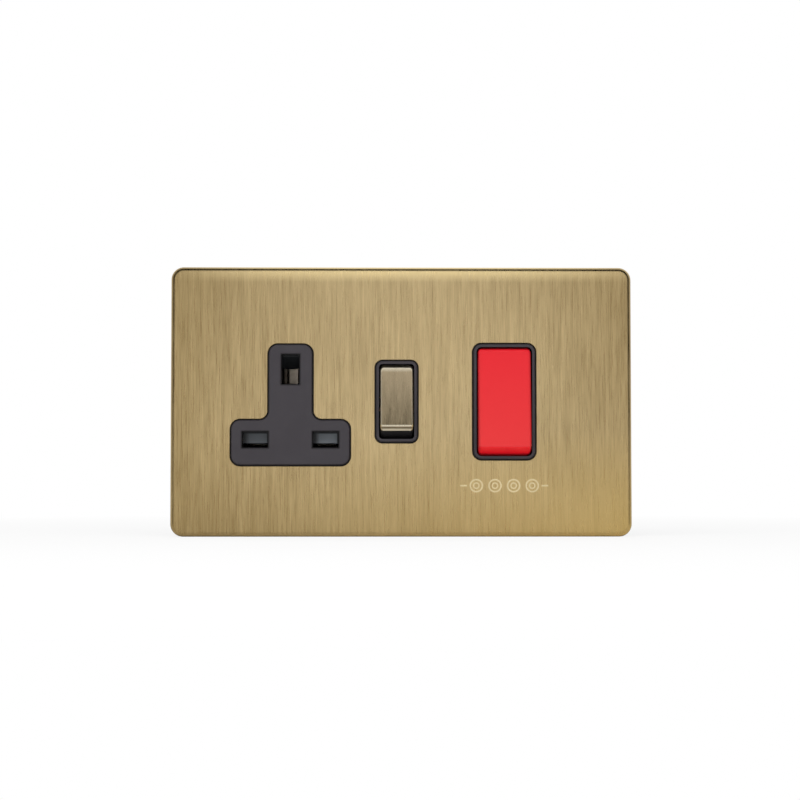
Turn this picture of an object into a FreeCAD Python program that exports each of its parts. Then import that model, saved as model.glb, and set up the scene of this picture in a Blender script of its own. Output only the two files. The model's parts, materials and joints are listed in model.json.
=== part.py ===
import FreeCAD, Part
import math
import os
import Sketcher

# Cooker control unit: a two-gang wall plate with a switched three-pin socket and a
# double-pole cooker switch. X runs to the right, Y back into the wall and Z up. The
# origin is midway between the two box screws, on the wall.

FRONT = "XZ_Plane"
SIDE = "YZ_Plane"
TOP = "XY_Plane"

# Two places nearer than this, in millimetres, are the same
NEAR = 1e-4

# Driving sizes in millimetres and degrees
SIZES = [
    ("plate_width", 146.0, "front plate, left to right"),
    ("plate_height", 85.4, "front plate, bottom to top"),
    ("plate_corner", 4.0, "corner radius of the front plate"),
    ("plate_depth", 5.5, "wall to the face of the plate"),
    ("plate_sheet", 1.2, "thickness of the pressed sheet"),
    ("plate_edge_round", 1.5, "rounding of the plate's front edge"),
    ("plate_wall_gap", 0.3, "plate's rim to the wall"),
    ("plate_fit", 0.25, "plate's flange to the frame"),
    ("plate_opening_gap", 0.4, "plate's cut-outs to the mouldings in them"),
    ("plate_opening_round", 0.25, "rounding of the cut-outs' front edges"),
    ("clip_radius", 1.6, "push-in stud behind the plate"),
    ("clip_length", 3.6, "length of a stud"),
    ("clip_inset", 6.5, "stud to the plate's edge"),
    ("clip_fit", 0.15, "stud to its hole"),
    ("frame_gap", 0.2, "back of the plate to the frame"),
    ("frame_web", 2.2, "thickness of the frame's web"),
    ("frame_rim", 2.0, "thickness of the frame's rim"),
    ("boss_proud", 0.8, "socket face and bezels beyond the plate"),
    ("boss_edge_round", 0.4, "rounding of their edges"),
    ("box_screw_spacing", 120.6, "between the two box screws"),
    ("box_screw_slot_width", 4.0, "width of a box screw slot"),
    ("box_screw_slot_length", 6.0, "length of a box screw slot"),
    ("screw_lug_width", 11.0, "lug round a box screw"),
    ("screw_lug_height", 14.0, "height of that lug"),
    ("screw_recess_radius", 4.3, "recess for a box screw's head"),
    ("screw_lug_floor", 1.8, "thickness under the screw's head"),
    ("socket_x", -35.1, "middle of the socket"),
    ("socket_top_z", 17.9, "top of the socket's face"),
    ("socket_bar_width", 37.3, "wide lower part of the socket's face"),
    ("socket_bar_height", 14.0, "height of that part"),
    ("socket_height", 37.9, "whole height of the socket's face"),
    ("socket_stem_width", 13.6, "narrow upper part of the face"),
    ("socket_outer_round", 2.8, "outer corners of the face"),
    ("socket_inner_round", 3.1, "inner corners of the face"),
    ("socket_face", 3.2, "thickness of the socket's face"),
    ("pin_spacing", 22.23, "line pin to neutral pin, and earth pin above them"),
    ("line_pin_z", -12.1, "height of the line and neutral pins"),
    ("line_pin_width", 6.35, "line pin across"),
    ("line_pin_height", 4.0, "line pin, bottom to top"),
    ("earth_pin_width", 4.0, "earth pin across"),
    ("earth_pin_height", 8.0, "earth pin, bottom to top"),
    ("earth_pin_reach", 22.7, "earth pin's length"),
    ("line_hole_ease", 1.7, "line aperture wider than its pin"),
    ("line_hole_ease_high", 0.9, "line aperture taller than its pin"),
    ("earth_hole_ease", 1.5, "earth aperture wider than its pin"),
    ("earth_hole_ease_high", 1.3, "earth aperture taller than its pin"),
    ("aperture_chamfer", 0.15, "lead-in round each aperture"),
    ("face_fit", 0.05, "socket's face to its recess in the frame"),
    ("shutter_gap", 0.2, "running gap round the shutter"),
    ("shutter_sheet", 1.6, "thickness of the shutter"),
    ("shutter_wing_height", 4.5, "height of the shutter's wings"),
    ("shutter_wing_drop", 1.3, "wings' lower edge below the middle of the pins"),
    ("shutter_wing_lap", 1.2, "wings beyond the apertures at each end"),
    ("shutter_lift", 3.45, "travel that clears the pins"),
    ("shutter_leg_width", 1.7, "legs beside the earth aperture"),
    ("shutter_bridge", 2.7, "bridge that joins the legs"),
    ("shutter_bevel", 0.25, "bevel under the wings' front edge"),
    ("wedge_run", 4.2, "depth of the wedge that the earth pin lifts"),
    ("spring_radius", 1.25, "shutter spring, to the middle of its wire"),
    ("spring_wire", 0.42, "thickness of the spring's wire"),
    ("spring_length", 6.9, "shutter spring at rest"),
    ("cover_sheet", 2.0, "thickness of the shutter's cover"),
    ("cover_fit", 0.3, "cover to the walls round it"),
    ("contact_sheet", 0.8, "strip that the socket contacts are bent from"),
    ("contact_grip", 3.4, "line contact's throat at rest"),
    ("contact_mouth", 6.4, "line contact's mouth"),
    ("contact_width", 6.0, "width of a line contact"),
    ("earth_grip", 0.7, "earth contact's throat at rest"),
    ("earth_grip_offset", -1.0, "earth contact's throat off the middle"),
    ("earth_contact_height", 6.9, "height of the earth contact's leaves"),
    ("earth_contact_drop", 1.7, "middle of those leaves below the pin's"),
    ("earth_lead", 0.6, "depth of the earth contact's lead-in"),
    ("pin_end_gap", 1.0, "end of a pin to the back of its contact"),
    ("pivot_y", 1.8, "rocker pivots behind the wall plane"),
    ("rocker_face", 9.6, "rocker's face before its pivot"),
    ("rocker_rear", 3.0, "rocker's rear edge before its pivot"),
    ("rocker_wall", 1.6, "wall of a rocker"),
    ("rocker_gap", 0.4, "rocker to the sides of its opening"),
    ("rocker_corner", 1.2, "corners of the large rocker"),
    ("cap_corner", 1.0, "corners of the small rocker"),
    ("bezel_wall", 0.87, "wall of a bezel"),
    ("bezel_lip", 1.6, "depth of the bezel's narrow mouth"),
    ("bezel_relief", 0.5, "mouth's widening behind its lip"),
    ("bezel_deep_relief", 1.2, "opening's widening in the web"),
    ("socket_switch_x", -1.55, "middle of the socket's switch"),
    ("socket_bezel_width", 12.9, "small bezel across"),
    ("socket_bezel_height", 25.5, "small bezel, bottom to top"),
    ("socket_bezel_corner", 2.0, "small bezel's corners"),
    ("socket_rocker_tilt", 9.0, "small rocker to each side of level"),
    ("socket_rocker_half", 9.375, "half the length of the small rocker's face"),
    ("socket_body_inset", 0.52, "black body inside the brass cap's end"),
    ("cap_sheet", 0.8, "face of the brass cap"),
    ("cap_skirt", 1.5, "depth of the brass cap"),
    ("cap_wall", 0.6, "skirt of the brass cap"),
    ("cap_fit", 0.05, "cap to the rocker in it"),
    ("cooker_switch_x", 32.55, "middle of the cooker switch"),
    ("cooker_bezel_width", 19.4, "large bezel across"),
    ("cooker_bezel_height", 36.3, "large bezel, bottom to top"),
    ("cooker_bezel_corner", 2.5, "large bezel's corners"),
    ("cooker_rocker_tilt", 5.68, "large rocker to each side of level"),
    ("cooker_rocker_half", 15.43, "half the length of the large rocker's face"),
    ("pole_offset", 5.2, "each pole from the middle of the cooker switch"),
    ("pin_radius", 1.5, "pivot pin moulded on a rocker"),
    ("pin_length", 1.5, "length of a pivot pin"),
    ("pin_fit", 0.12, "pivot pin to its bearing"),
    ("cheek_sheet", 1.9, "thickness of a bearing cheek"),
    ("cheek_half", 3.2, "half the height of a bearing cheek"),
    ("ear_half", 2.6, "half the height of a rocker's ear"),
    ("stem_radius", 2.6, "tube in the rocker that holds the plunger"),
    ("stem_reach", 8.0, "tube's end behind the pivot"),
    ("plunger_radius", 1.6, "plunger's shank"),
    ("plunger_nose", 1.0, "plunger's round nose"),
    ("plunger_reach", 11.0, "nose's tip behind the pivot"),
    ("plunger_tail", 5.5, "plunger's inner end behind the pivot"),
    ("plunger_fit", 0.15, "plunger to its bore"),
    ("bore_floor", 1.0, "bottom of the plunger's bore behind the pivot"),
    ("switch_gap", 0.3, "plunger's tip to the contact arm at mid travel"),
    ("arm_sheet", 0.9, "thickness of a contact arm"),
    ("arm_half", 9.2, "half the length of a contact arm"),
    ("arm_width", 4.6, "width of a contact arm"),
    ("arm_tilt", 10.0, "arm to each side of level, and its own bend"),
    ("rivet_radius", 1.6, "contact tip"),
    ("rivet_height", 0.7, "contact tip's height on the arm"),
    ("rivet_place", 7.6, "contact tip from the arm's pivot"),
    ("fulcrum_radius", 0.5, "ridge that a contact arm rocks on"),
    ("strap_gap", 0.15, "running gap behind the contact arm"),
    ("strap_sheet", 1.0, "thickness of the copper straps"),
    ("strap_width", 4.6, "width of the copper straps"),
    ("bar_sheet", 0.8, "thickness of the long bars"),
    ("bar_width", 3.0, "width of the long bars"),
    ("neutral_bar_z", 18.0, "height of the neutral bar"),
    ("live_bar_z", 13.0, "height of the live bar"),
    ("live_bar_behind", 1.15, "live bar behind the straps"),
    ("housing_width", 108.0, "rear housing across"),
    ("housing_height", 64.0, "rear housing, bottom to top"),
    ("housing_back", 24.0, "wall to the back of the housing"),
    ("housing_wall", 2.0, "wall of the housing"),
    ("housing_corner", 3.0, "corner radius of the housing"),
    ("post_radius", 3.5, "screw posts in the housing's corners"),
    ("post_inset", 3.6, "posts from the housing's inner walls"),
    ("post_joint_y", 6.0, "frame's posts meet the housing's posts"),
    ("case_screw_radius", 1.5, "screws that hold the housing"),
    ("case_screw_head", 2.8, "head of such a screw"),
    ("case_screw_sink", 2.4, "depth of the head's recess"),
    ("case_screw_fit", 0.12, "clearance round those screws"),
    ("terminal_width", 9.0, "line terminal across"),
    ("terminal_front", 6.0, "front of a terminal behind the wall plane"),
    ("terminal_depth", 11.0, "terminal, front to back"),
    ("terminal_height", 9.7, "height of a terminal"),
    ("terminal_gap", 0.3, "terminal to the housing's wall"),
    ("terminal_shift", 1.5, "line terminals outward of their poles"),
    ("wire_radius", 3.2, "bore for the wire"),
    ("wire_front", 1.2, "metal before the bore"),
    ("wire_depth", 8.0, "depth of the bore"),
    ("wire_hole", 3.7, "hole in the housing for the wire"),
    ("terminal_screw_radius", 2.4, "terminal screw's shank"),
    ("terminal_screw_head", 3.2, "terminal screw's head"),
    ("terminal_screw_rise", 2.6, "height of that head"),
    ("terminal_screw_slot", 1.0, "slot in that head"),
    ("well_radius", 3.8, "well over a terminal screw"),
    ("well_wall", 1.0, "wall of that well"),
    ("earth_terminal_width", 18.6, "earth terminal across"),
    ("earth_wire_offset", 4.9, "earth bores from the middle"),
    ("carrier_sheet", 1.2, "base of the contact carrier"),
    ("carrier_fit", 0.15, "contact carrier to the housing"),
    ("rib_sheet", 1.2, "thickness of the carrier's barriers"),
    ("clip_lead", 0.4, "bevel on a stud's tip"),
    ("clip_slit", 0.6, "slit that lets a stud spring"),
    ("clip_boss", 1.4, "wall of the frame round a stud"),
    ("frame_inner_corner", 1.5, "inner corners of the frame's rim"),
    ("shutter_leg_clear", 0.6, "legs clear of the earth aperture"),
    ("cover_margin", 2.0, "cover beyond the shutter's space"),
    ("peg_radius", 1.3, "pegs that hold the cover"),
    ("peg_fit", 0.1, "peg to its hole"),
    ("peg_offset", 12.0, "pegs from the middle of the socket"),
    ("peg_z", 0.5, "height of the pegs"),
    ("peg_proud", 0.6, "peg's head beyond the cover"),
    ("contact_mouth_y", 2.0, "mouths of the socket contacts behind the wall plane"),
    ("contact_lead", 2.2, "length of a contact's lead-in"),
    ("contact_belly", 4.8, "line contact behind its throat"),
    ("earth_mouth", 4.2, "earth contact's mouth"),
    ("earth_belly", 3.6, "earth contact behind its throat"),
    ("cooker_face_round", 0.8, "rounding of the large rocker's face"),
    ("cap_round", 0.35, "rounding of the brass cap's edge"),
    ("opening_round", 0.5, "corners of the openings behind their lips"),
    ("strap_seat", 2.0, "strap's end in its terminal"),
    ("strap_fit", 0.05, "strap to that seat"),
    ("strap_margin", 0.9, "strap beyond a contact tip"),
    ("bar_boss_radius", 1.4, "bosses that join the live bar to the straps"),
    ("terminal_round", 0.6, "edges of a terminal"),
    ("terminal_screw_back", 0.1, "screw's tip short of the wire bore"),
    ("terminal_screw_lift", 0.2, "head off its terminal"),
    ("case_screw_bite", 7.0, "screw's hole in the frame's posts"),
    ("case_screw_rise", 2.0, "height of a housing screw's head"),
    ("case_screw_cross", 0.9, "cross in a housing screw's head"),
    ("housing_back_round", 1.2, "rounding of the housing's back edge"),
    ("rib_front", 5.6, "front edge of the barriers"),
    ("rib_gap", 0.5, "barriers clear of a bar"),
    ("socket_rib_x", -14.5, "barrier beside the socket"),
    ("switch_rib_x", 13.0, "barrier between the switches"),
    ("seat_width", 4.0, "blocks that hold the straps"),
    ("seat_low", 6.0, "load straps' blocks below the pivots"),
]

doc = FreeCAD.newDocument("cooker_control_unit")
sheet = doc.addObject("Spreadsheet::Sheet", "Sizes")


class Size:
    """A number with the spreadsheet expression that it comes from."""

    def __init__(self, value, text):
        self.value = value
        self.text = text

    def __add__(self, other):
        other = size(other)
        return Size(self.value + other.value, "(%s + %s)" % (self.text, other.text))

    def __sub__(self, other):
        other = size(other)
        return Size(self.value - other.value, "(%s - %s)" % (self.text, other.text))

    def __mul__(self, other):
        other = size(other)
        return Size(self.value * other.value, "(%s * %s)" % (self.text, other.text))

    def __truediv__(self, other):
        other = size(other)
        return Size(self.value / other.value, "(%s / %s)" % (self.text, other.text))

    def __neg__(self):
        return Size(-self.value, "(0 - %s)" % self.text)

    def __radd__(self, other):
        return size(other) + self

    def __rsub__(self, other):
        return size(other) - self

    def __rmul__(self, other):
        return size(other) * self


def size(thing):
    """A plain number as a Size; a Size as it is."""
    if isinstance(thing, Size):
        return thing
    return Size(float(thing), "(%s)" % repr(float(thing)))


def sine(angle):
    return Size(math.sin(math.radians(angle.value)), "sin(%s)" % angle.text)


def cosine(angle):
    return Size(math.cos(math.radians(angle.value)), "cos(%s)" % angle.text)


def root(area):
    return Size(math.sqrt(area.value), "sqrt(%s)" % area.text)


class Sheet:
    """The driving sizes by name, read back from the spreadsheet's cells."""

    def __init__(self):
        for row, (name, value, note) in enumerate(SIZES, start=1):
            sheet.set("A%d" % row, note)
            sheet.set("B%d" % row, str(value))
            sheet.setAlias("B%d" % row, name)
        doc.recompute()
        for name, value, note in SIZES:
            setattr(self, name, Size(float(sheet.get(name)), "Sizes.%s" % name))


s = Sheet()


def bind(thing, path, value):
    """Ties one property of an object to the spreadsheet."""
    thing.setExpression(path, size(value).text)


# Sketch outlines: each function returns another that draws into a sketch


class Drawing:
    """Collects a sketch's geometry and its dimensions."""

    def __init__(self, sketch):
        self.sketch = sketch
        self.rules = []
        self.texts = []

    def add(self, shape):
        return self.sketch.addGeometry(shape, False)

    def rule(self, text, *facts):
        self.rules.append(Sketcher.Constraint(*facts))
        self.texts.append(text)

    def fix(self, item, end, x, y):
        self.rule(x.text, "DistanceX", -1, 1, item, end, x.value)
        self.rule(y.text, "DistanceY", -1, 1, item, end, y.value)

    def finish(self):
        self.sketch.addConstraint(self.rules)
        for index, text in enumerate(self.texts):
            if text:
                self.sketch.setExpression("Constraints[%d]" % index, text)


def sign(value):
    return 0 if abs(value) < 1e-9 else int(math.copysign(1, value))


def circle(x, y, radius):
    x, y, radius = size(x), size(y), size(radius)

    def draw(drawing):
        middle = FreeCAD.Vector(x.value, y.value, 0)
        item = drawing.add(Part.Circle(middle, FreeCAD.Vector(0, 0, 1), radius.value))
        drawing.fix(item, 3, x, y)
        drawing.rule(radius.text, "Radius", item, radius.value)

    return draw


def round_corner(before, corner, after):
    """Start, end, centre and radius of the arc at a corner between two square edges."""
    x, y, radius = [size(value) for value in corner]
    come = (sign(x.value - size(before[0]).value), sign(y.value - size(before[1]).value))
    go = (sign(size(after[0]).value - x.value), sign(size(after[1]).value - y.value))
    start = (x - radius * come[0], y - radius * come[1])
    stop = (x + radius * go[0], y + radius * go[1])
    centre = (start[0] + radius * go[0], start[1] + radius * go[1])
    return start, stop, centre, radius


def path(*corners):
    """A closed outline. A corner is (x, y), or (x, y, radius) where two square edges
    meet, or (x, y, centre x, centre y, radius) where an arc runs to the next corner."""
    runs = []
    for index, corner in enumerate(corners):
        if len(corner) == 3:
            after = corners[(index + 1) % len(corners)]
            start, stop, centre, radius = round_corner(corners[index - 1], corner, after)
            runs.append((start, centre, radius))
            runs.append((stop, None, None))
        elif len(corner) == 5:
            x, y, middle_x, middle_y, radius = [size(value) for value in corner]
            runs.append(((x, y), (middle_x, middle_y), radius))
        else:
            runs.append(((size(corner[0]), size(corner[1])), None, None))

    def draw(drawing):
        ends = []
        for index, (start, centre, radius) in enumerate(runs):
            stop = runs[(index + 1) % len(runs)][0]
            here = FreeCAD.Vector(start[0].value, start[1].value, 0)
            there = FreeCAD.Vector(stop[0].value, stop[1].value, 0)
            if centre is None:
                ends.append((drawing.add(Part.LineSegment(here, there)), 1, 2))
                continue
            middle = FreeCAD.Vector(centre[0].value, centre[1].value, 0)
            first, last = here - middle, there - middle
            turns_left = first.x * last.y - first.y * last.x > 0
            if not turns_left:
                first, last = last, first
            whole = Part.Circle(middle, FreeCAD.Vector(0, 0, 1), radius.value)
            item = drawing.add(Part.ArcOfCircle(
                whole, math.atan2(first.y, first.x), math.atan2(last.y, last.x)))
            drawing.rule(radius.text, "Radius", item, radius.value)
            ends.append((item, 1, 2) if turns_left else (item, 2, 1))
        for index, (start, centre, radius) in enumerate(runs):
            item, first, last = ends[index]
            following = ends[(index + 1) % len(ends)]
            drawing.fix(item, first, *start)
            drawing.rule(None, "Coincident", item, last, following[0], following[1])

    return draw


def box(left, right, low, high, radius=None):
    """A rectangle, with round corners where a radius is given."""
    corners = [(left, low), (right, low), (right, high), (left, high)]
    if radius is not None:
        corners = [corner + (radius,) for corner in corners]
    return path(*corners)


def block(x, y, width, height, radius=None):
    """A rectangle by its middle and its size."""
    x, y, width, height = size(x), size(y), size(width), size(height)
    return box(x - width / 2, x + width / 2, y - height / 2, y + height / 2, radius)


def slot(x, y, length, width):
    """A slot with round ends, along the sketch's first axis."""
    x, y, half = size(x), size(y), size(width) / 2
    left, right = x - (size(length) / 2 - half), x + (size(length) / 2 - half)
    return path(
        (right, y - half, right, y, half), (right + half, y, right, y, half),
        (right, y + half), (left, y + half, left, y, half),
        (left - half, y, left, y, half), (left, y - half))


class Piece:
    """One part of the unit: a body with its sketches and features."""

    def __init__(self, name, at=(0, 0, 0), lean=0):
        self.body = doc.addObject("PartDesign::Body", name)
        self.body.Label = name
        self.body.AllowCompound = True
        self.name = name
        self.count = 0
        at = [size(value) for value in at]
        lean = size(lean)
        self.body.Placement = FreeCAD.Placement(
            FreeCAD.Vector(*[value.value for value in at]),
            FreeCAD.Rotation(FreeCAD.Vector(1, 0, 0), lean.value))
        for axis, value in zip("xyz", at):
            bind(self.body, "Placement.Base.%s" % axis, value)
        if lean.value:
            bind(self.body, "Placement.Rotation.Angle", lean)
        PIECES.append(self)

    def feature(self, kind, word):
        self.count += 1
        return self.body.newObject(kind, "%s_%02d_%s" % (self.name, self.count, word))

    def sketch(self, side, level, loops):
        sketch = self.feature("Sketcher::SketchObject", "sketch")
        plane = next(item for item in self.body.Origin.OriginFeatures if item.Role == side)
        sketch.AttachmentSupport = [(plane, "")]
        sketch.MapMode = "FlatFace"
        offset = -level if side == FRONT else level
        sketch.AttachmentOffset = FreeCAD.Placement(
            FreeCAD.Vector(0, 0, offset.value), FreeCAD.Rotation())
        bind(sketch, "AttachmentOffset.Base.z", offset)
        drawing = Drawing(sketch)
        for loop in loops:
            loop(drawing)
        drawing.finish()
        sketch.Visibility = False
        return sketch

    def pad(self, side, start, stop, *loops):
        """Adds material from one level to the other."""
        start, stop = size(start), size(stop)
        sketch = self.sketch(side, stop if side == FRONT else start, loops)
        pad = self.feature("PartDesign::Pad", "pad")
        pad.Profile = sketch
        pad.Length = (stop - start).value
        bind(pad, "Length", stop - start)
        return pad

    def pocket(self, side, start, stop, *loops):
        """Takes material away from one level to the other."""
        start, stop = size(start), size(stop)
        sketch = self.sketch(side, start if side == FRONT else stop, loops)
        pocket = self.feature("PartDesign::Pocket", "pocket")
        pocket.Profile = sketch
        pocket.Length = (stop - start).value
        bind(pocket, "Length", stop - start)
        CUTS.append(pocket)
        return pocket

    def revolve(self, *loops):
        """Turns outlines drawn along Y and out from it about the local Y axis."""
        sketch = self.sketch(SIDE, size(0), loops)
        turned = self.feature("PartDesign::Revolution", "turned")
        turned.Profile = sketch
        turned.ReferenceAxis = (sketch, ["H_Axis"])
        turned.Angle = 360
        return turned

    def dress(self, kind, width, pick):
        """Rounds or bevels the edges that pick chooses."""
        doc.recompute()
        base = self.body.Tip
        names = ["Edge%d" % (index + 1)
                 for index, edge in enumerate(base.Shape.Edges) if pick(edge)]
        if not names:
            raise ValueError("no edge to dress on " + self.name)
        dressed = self.feature("PartDesign::" + kind, kind.lower())
        dressed.Base = (base, names)
        if kind == "Fillet":
            dressed.Radius = width.value
            bind(dressed, "Radius", width)
        else:
            dressed.Size = width.value
            bind(dressed, "Size", width)
        return dressed


PIECES = []
LOOSE = []
CUTS = []

# Levels along Y
face_y = -s.plate_depth
boss_y = face_y - s.boss_proud
sheet_y = face_y + s.plate_sheet
web_front = sheet_y + s.frame_gap
web_back = web_front + s.frame_web
face_back = boss_y + s.socket_face
shutter_front = face_back + s.shutter_gap
shutter_back = shutter_front + s.shutter_sheet
cover_front = shutter_back + s.shutter_gap
cover_back = cover_front + s.cover_sheet
arm_front = s.pivot_y + s.plunger_reach + s.switch_gap
arm_back = arm_front + s.arm_sheet / cosine(s.arm_tilt)
strap_front = arm_back + s.fulcrum_radius + s.strap_gap
strap_back = strap_front + s.strap_sheet
tip_front = arm_back + s.rivet_height + s.strap_gap
fixed_front = tip_front + s.rivet_height
fixed_back = fixed_front + s.strap_sheet
neutral_bar_back = strap_front + s.bar_sheet
live_bar_front = fixed_back + s.live_bar_behind
earth_back = boss_y + s.earth_pin_reach + s.pin_end_gap + s.contact_sheet
inner_back = s.housing_back - s.housing_wall
carrier_front = inner_back - s.carrier_sheet

# Places across and up
neutral_x = s.socket_x - s.pin_spacing / 2
live_x = s.socket_x + s.pin_spacing / 2
earth_z = s.line_pin_z + s.pin_spacing
line_hole_width = s.line_pin_width + s.line_hole_ease
line_hole_height = s.line_pin_height + s.line_hole_ease_high
earth_hole_width = s.earth_pin_width + s.earth_hole_ease
earth_hole_height = s.earth_pin_height + s.earth_hole_ease_high
live_pole_x = s.cooker_switch_x + s.pole_offset
neutral_pole_x = s.cooker_switch_x - s.pole_offset
live_terminal_x = live_pole_x + s.terminal_shift
neutral_terminal_x = neutral_pole_x - s.terminal_shift
clip_x = s.plate_width / 2 - s.clip_inset
clip_z = s.plate_height / 2 - s.clip_inset
inner_x = s.housing_width / 2 - s.housing_wall
inner_z = s.housing_height / 2 - s.housing_wall
post_x = inner_x - s.post_inset
post_z = inner_z - s.post_inset
terminal_high = inner_z - s.terminal_gap
terminal_low = terminal_high - s.terminal_height
terminal_mid = terminal_low + s.terminal_height / 2
terminal_back = s.terminal_front + s.terminal_depth
wire_y = s.terminal_front + s.wire_front + s.wire_radius
strap_half = s.strap_width / 2
strap_end = terminal_low + s.strap_seat

# The shutter's outline
wing_half = s.pin_spacing / 2 + line_hole_width / 2 + s.shutter_wing_lap
wing_low = s.line_pin_z - s.shutter_wing_drop
wing_high = wing_low + s.shutter_wing_height
leg_inner = earth_hole_width / 2 + s.shutter_leg_clear
leg_outer = leg_inner + s.shutter_leg_width
trunk_high = earth_z - earth_hole_height / 2 - s.shutter_lift - s.shutter_gap
wedge_low = earth_z + s.earth_pin_height / 2 - s.shutter_lift
wedge_high = earth_z + s.earth_pin_height / 2 + s.shutter_gap
wedge_back = shutter_front + s.wedge_run
shutter_top = wedge_high + s.shutter_bridge
spring_y = (shutter_front + wedge_back) / 2
spring_end = shutter_top + s.spring_length
spring_space = s.spring_radius + s.spring_wire / 2 + s.shutter_gap
corner_gap = (s.post_radius + s.post_inset + s.carrier_fit) * 2
swept_half = wing_half + s.shutter_gap
swept_low = wing_low - s.shutter_gap
swept_high = wing_high + s.shutter_lift + s.shutter_gap
swept_leg = leg_outer + s.shutter_gap
swept_top = shutter_top + s.shutter_lift + s.shutter_gap


class Switch:
    """The sizes of one rocker and its opening."""

    def __init__(self, name, x, width, height, corner, tilt, half, inset, stems):
        self.name = name
        self.x = x
        self.bezel_width = width
        self.bezel_height = height
        self.bezel_corner = corner
        self.opening_width = width - s.bezel_wall * 2
        self.opening_height = height - s.bezel_wall * 2
        self.opening_corner = corner - s.bezel_wall
        self.tilt = tilt
        self.half = half
        self.rocker_width = self.opening_width - s.rocker_gap * 2
        self.end_radius = root(s.rocker_face * s.rocker_face + half * half)
        self.body_radius = self.end_radius - inset
        self.stems = stems

    def end_z(self, depth, radius):
        """Half height of the rocker at a depth before its pivot."""
        return root(radius * radius - depth * depth)

    def bezel(self, grow):
        return block(self.x, 0, self.bezel_width + grow * 2, self.bezel_height + grow * 2,
                     self.bezel_corner + grow)

    def opening(self, grow, corner):
        return block(self.x, 0, self.opening_width, self.opening_height + grow * 2, corner)


socket_switch = Switch(
    "socket", s.socket_switch_x, s.socket_bezel_width, s.socket_bezel_height,
    s.socket_bezel_corner, s.socket_rocker_tilt, s.socket_rocker_half,
    s.socket_body_inset, [size(0)])
cooker_switch = Switch(
    "cooker", s.cooker_switch_x, s.cooker_bezel_width, s.cooker_bezel_height,
    s.cooker_bezel_corner, s.cooker_rocker_tilt, s.cooker_rocker_half,
    size(0), [s.pole_offset, -s.pole_offset])
SWITCHES = [socket_switch, cooker_switch]


def socket_outline(grow):
    """The socket's upside-down T, moved outward by grow."""
    bar = s.socket_bar_width / 2 + grow
    stem = s.socket_stem_width / 2 + grow
    high = s.socket_top_z + grow
    low = s.socket_top_z - s.socket_height - grow
    step = s.socket_top_z - s.socket_height + s.socket_bar_height + grow
    outer = s.socket_outer_round + grow
    inner = s.socket_inner_round - grow
    x = s.socket_x
    return path(
        (x - bar, low, outer), (x + bar, low, outer), (x + bar, step, outer),
        (x + stem, step, inner), (x + stem, high, outer), (x - stem, high, outer),
        (x - stem, step, inner), (x - bar, step, outer))


def swept_outline():
    """The space that the shutter's wings and legs move in."""
    x = s.socket_x
    return path(
        (x - swept_half, swept_low), (x + swept_half, swept_low),
        (x + swept_half, swept_high), (x + swept_leg, swept_high),
        (x + swept_leg, swept_top), (x - swept_leg, swept_top),
        (x - swept_leg, swept_high), (x - swept_half, swept_high))


def line_holes():
    """The line and neutral apertures."""
    return [block(x, s.line_pin_z, line_hole_width, line_hole_height)
            for x in (neutral_x, live_x)]


def at_level(edge, level):
    """True where an edge lies flat at one distance from the wall."""
    span = edge.BoundBox
    return abs(span.YMin - level.value) < NEAR and abs(span.YMax - level.value) < NEAR


def clip_places():
    return [(clip_x * across, clip_z * up) for across in (-1, 0, 1) for up in (-1, 1)]


def post_places():
    return [(post_x * across, post_z * up) for across in (-1, 1) for up in (-1, 1)]


# Front plate and the studs that hold it


def front_plate():
    piece = Piece("front_plate")
    piece.pad(FRONT, face_y, -s.plate_wall_gap,
              block(0, 0, s.plate_width, s.plate_height, s.plate_corner))
    piece.dress("Fillet", s.plate_edge_round, lambda edge: at_level(edge, face_y))
    piece.pocket(FRONT, sheet_y, -s.plate_wall_gap,
                 block(0, 0, s.plate_width - s.plate_sheet * 2,
                       s.plate_height - s.plate_sheet * 2, s.plate_corner - s.plate_sheet))
    piece.pocket(FRONT, face_y, sheet_y, socket_outline(s.plate_opening_gap),
                 *[switch.bezel(s.plate_opening_gap) for switch in SWITCHES])
    across, up = [half / 2 - s.plate_edge_round * 2 for half in
                  (s.plate_width, s.plate_height)]

    def opening(edge):
        middle = edge.BoundBox.Center
        inside = abs(middle.x) < across.value and abs(middle.z) < up.value
        return inside and at_level(edge, face_y)

    piece.dress("Fillet", s.plate_opening_round, opening)


def plate_clips():
    piece = Piece("plate_clips")
    tip = sheet_y + s.clip_length
    piece.pad(FRONT, sheet_y, tip, *[circle(x, z, s.clip_radius) for x, z in clip_places()])
    piece.dress("Chamfer", s.clip_lead, lambda edge: at_level(edge, tip))
    piece.pocket(FRONT, web_front, tip,
                 *[block(x, z, s.clip_slit, s.clip_radius * 3) for x, z in clip_places()])


# Moulded mounting frame: bezels, bearings, lugs and rim in one piece


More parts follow.
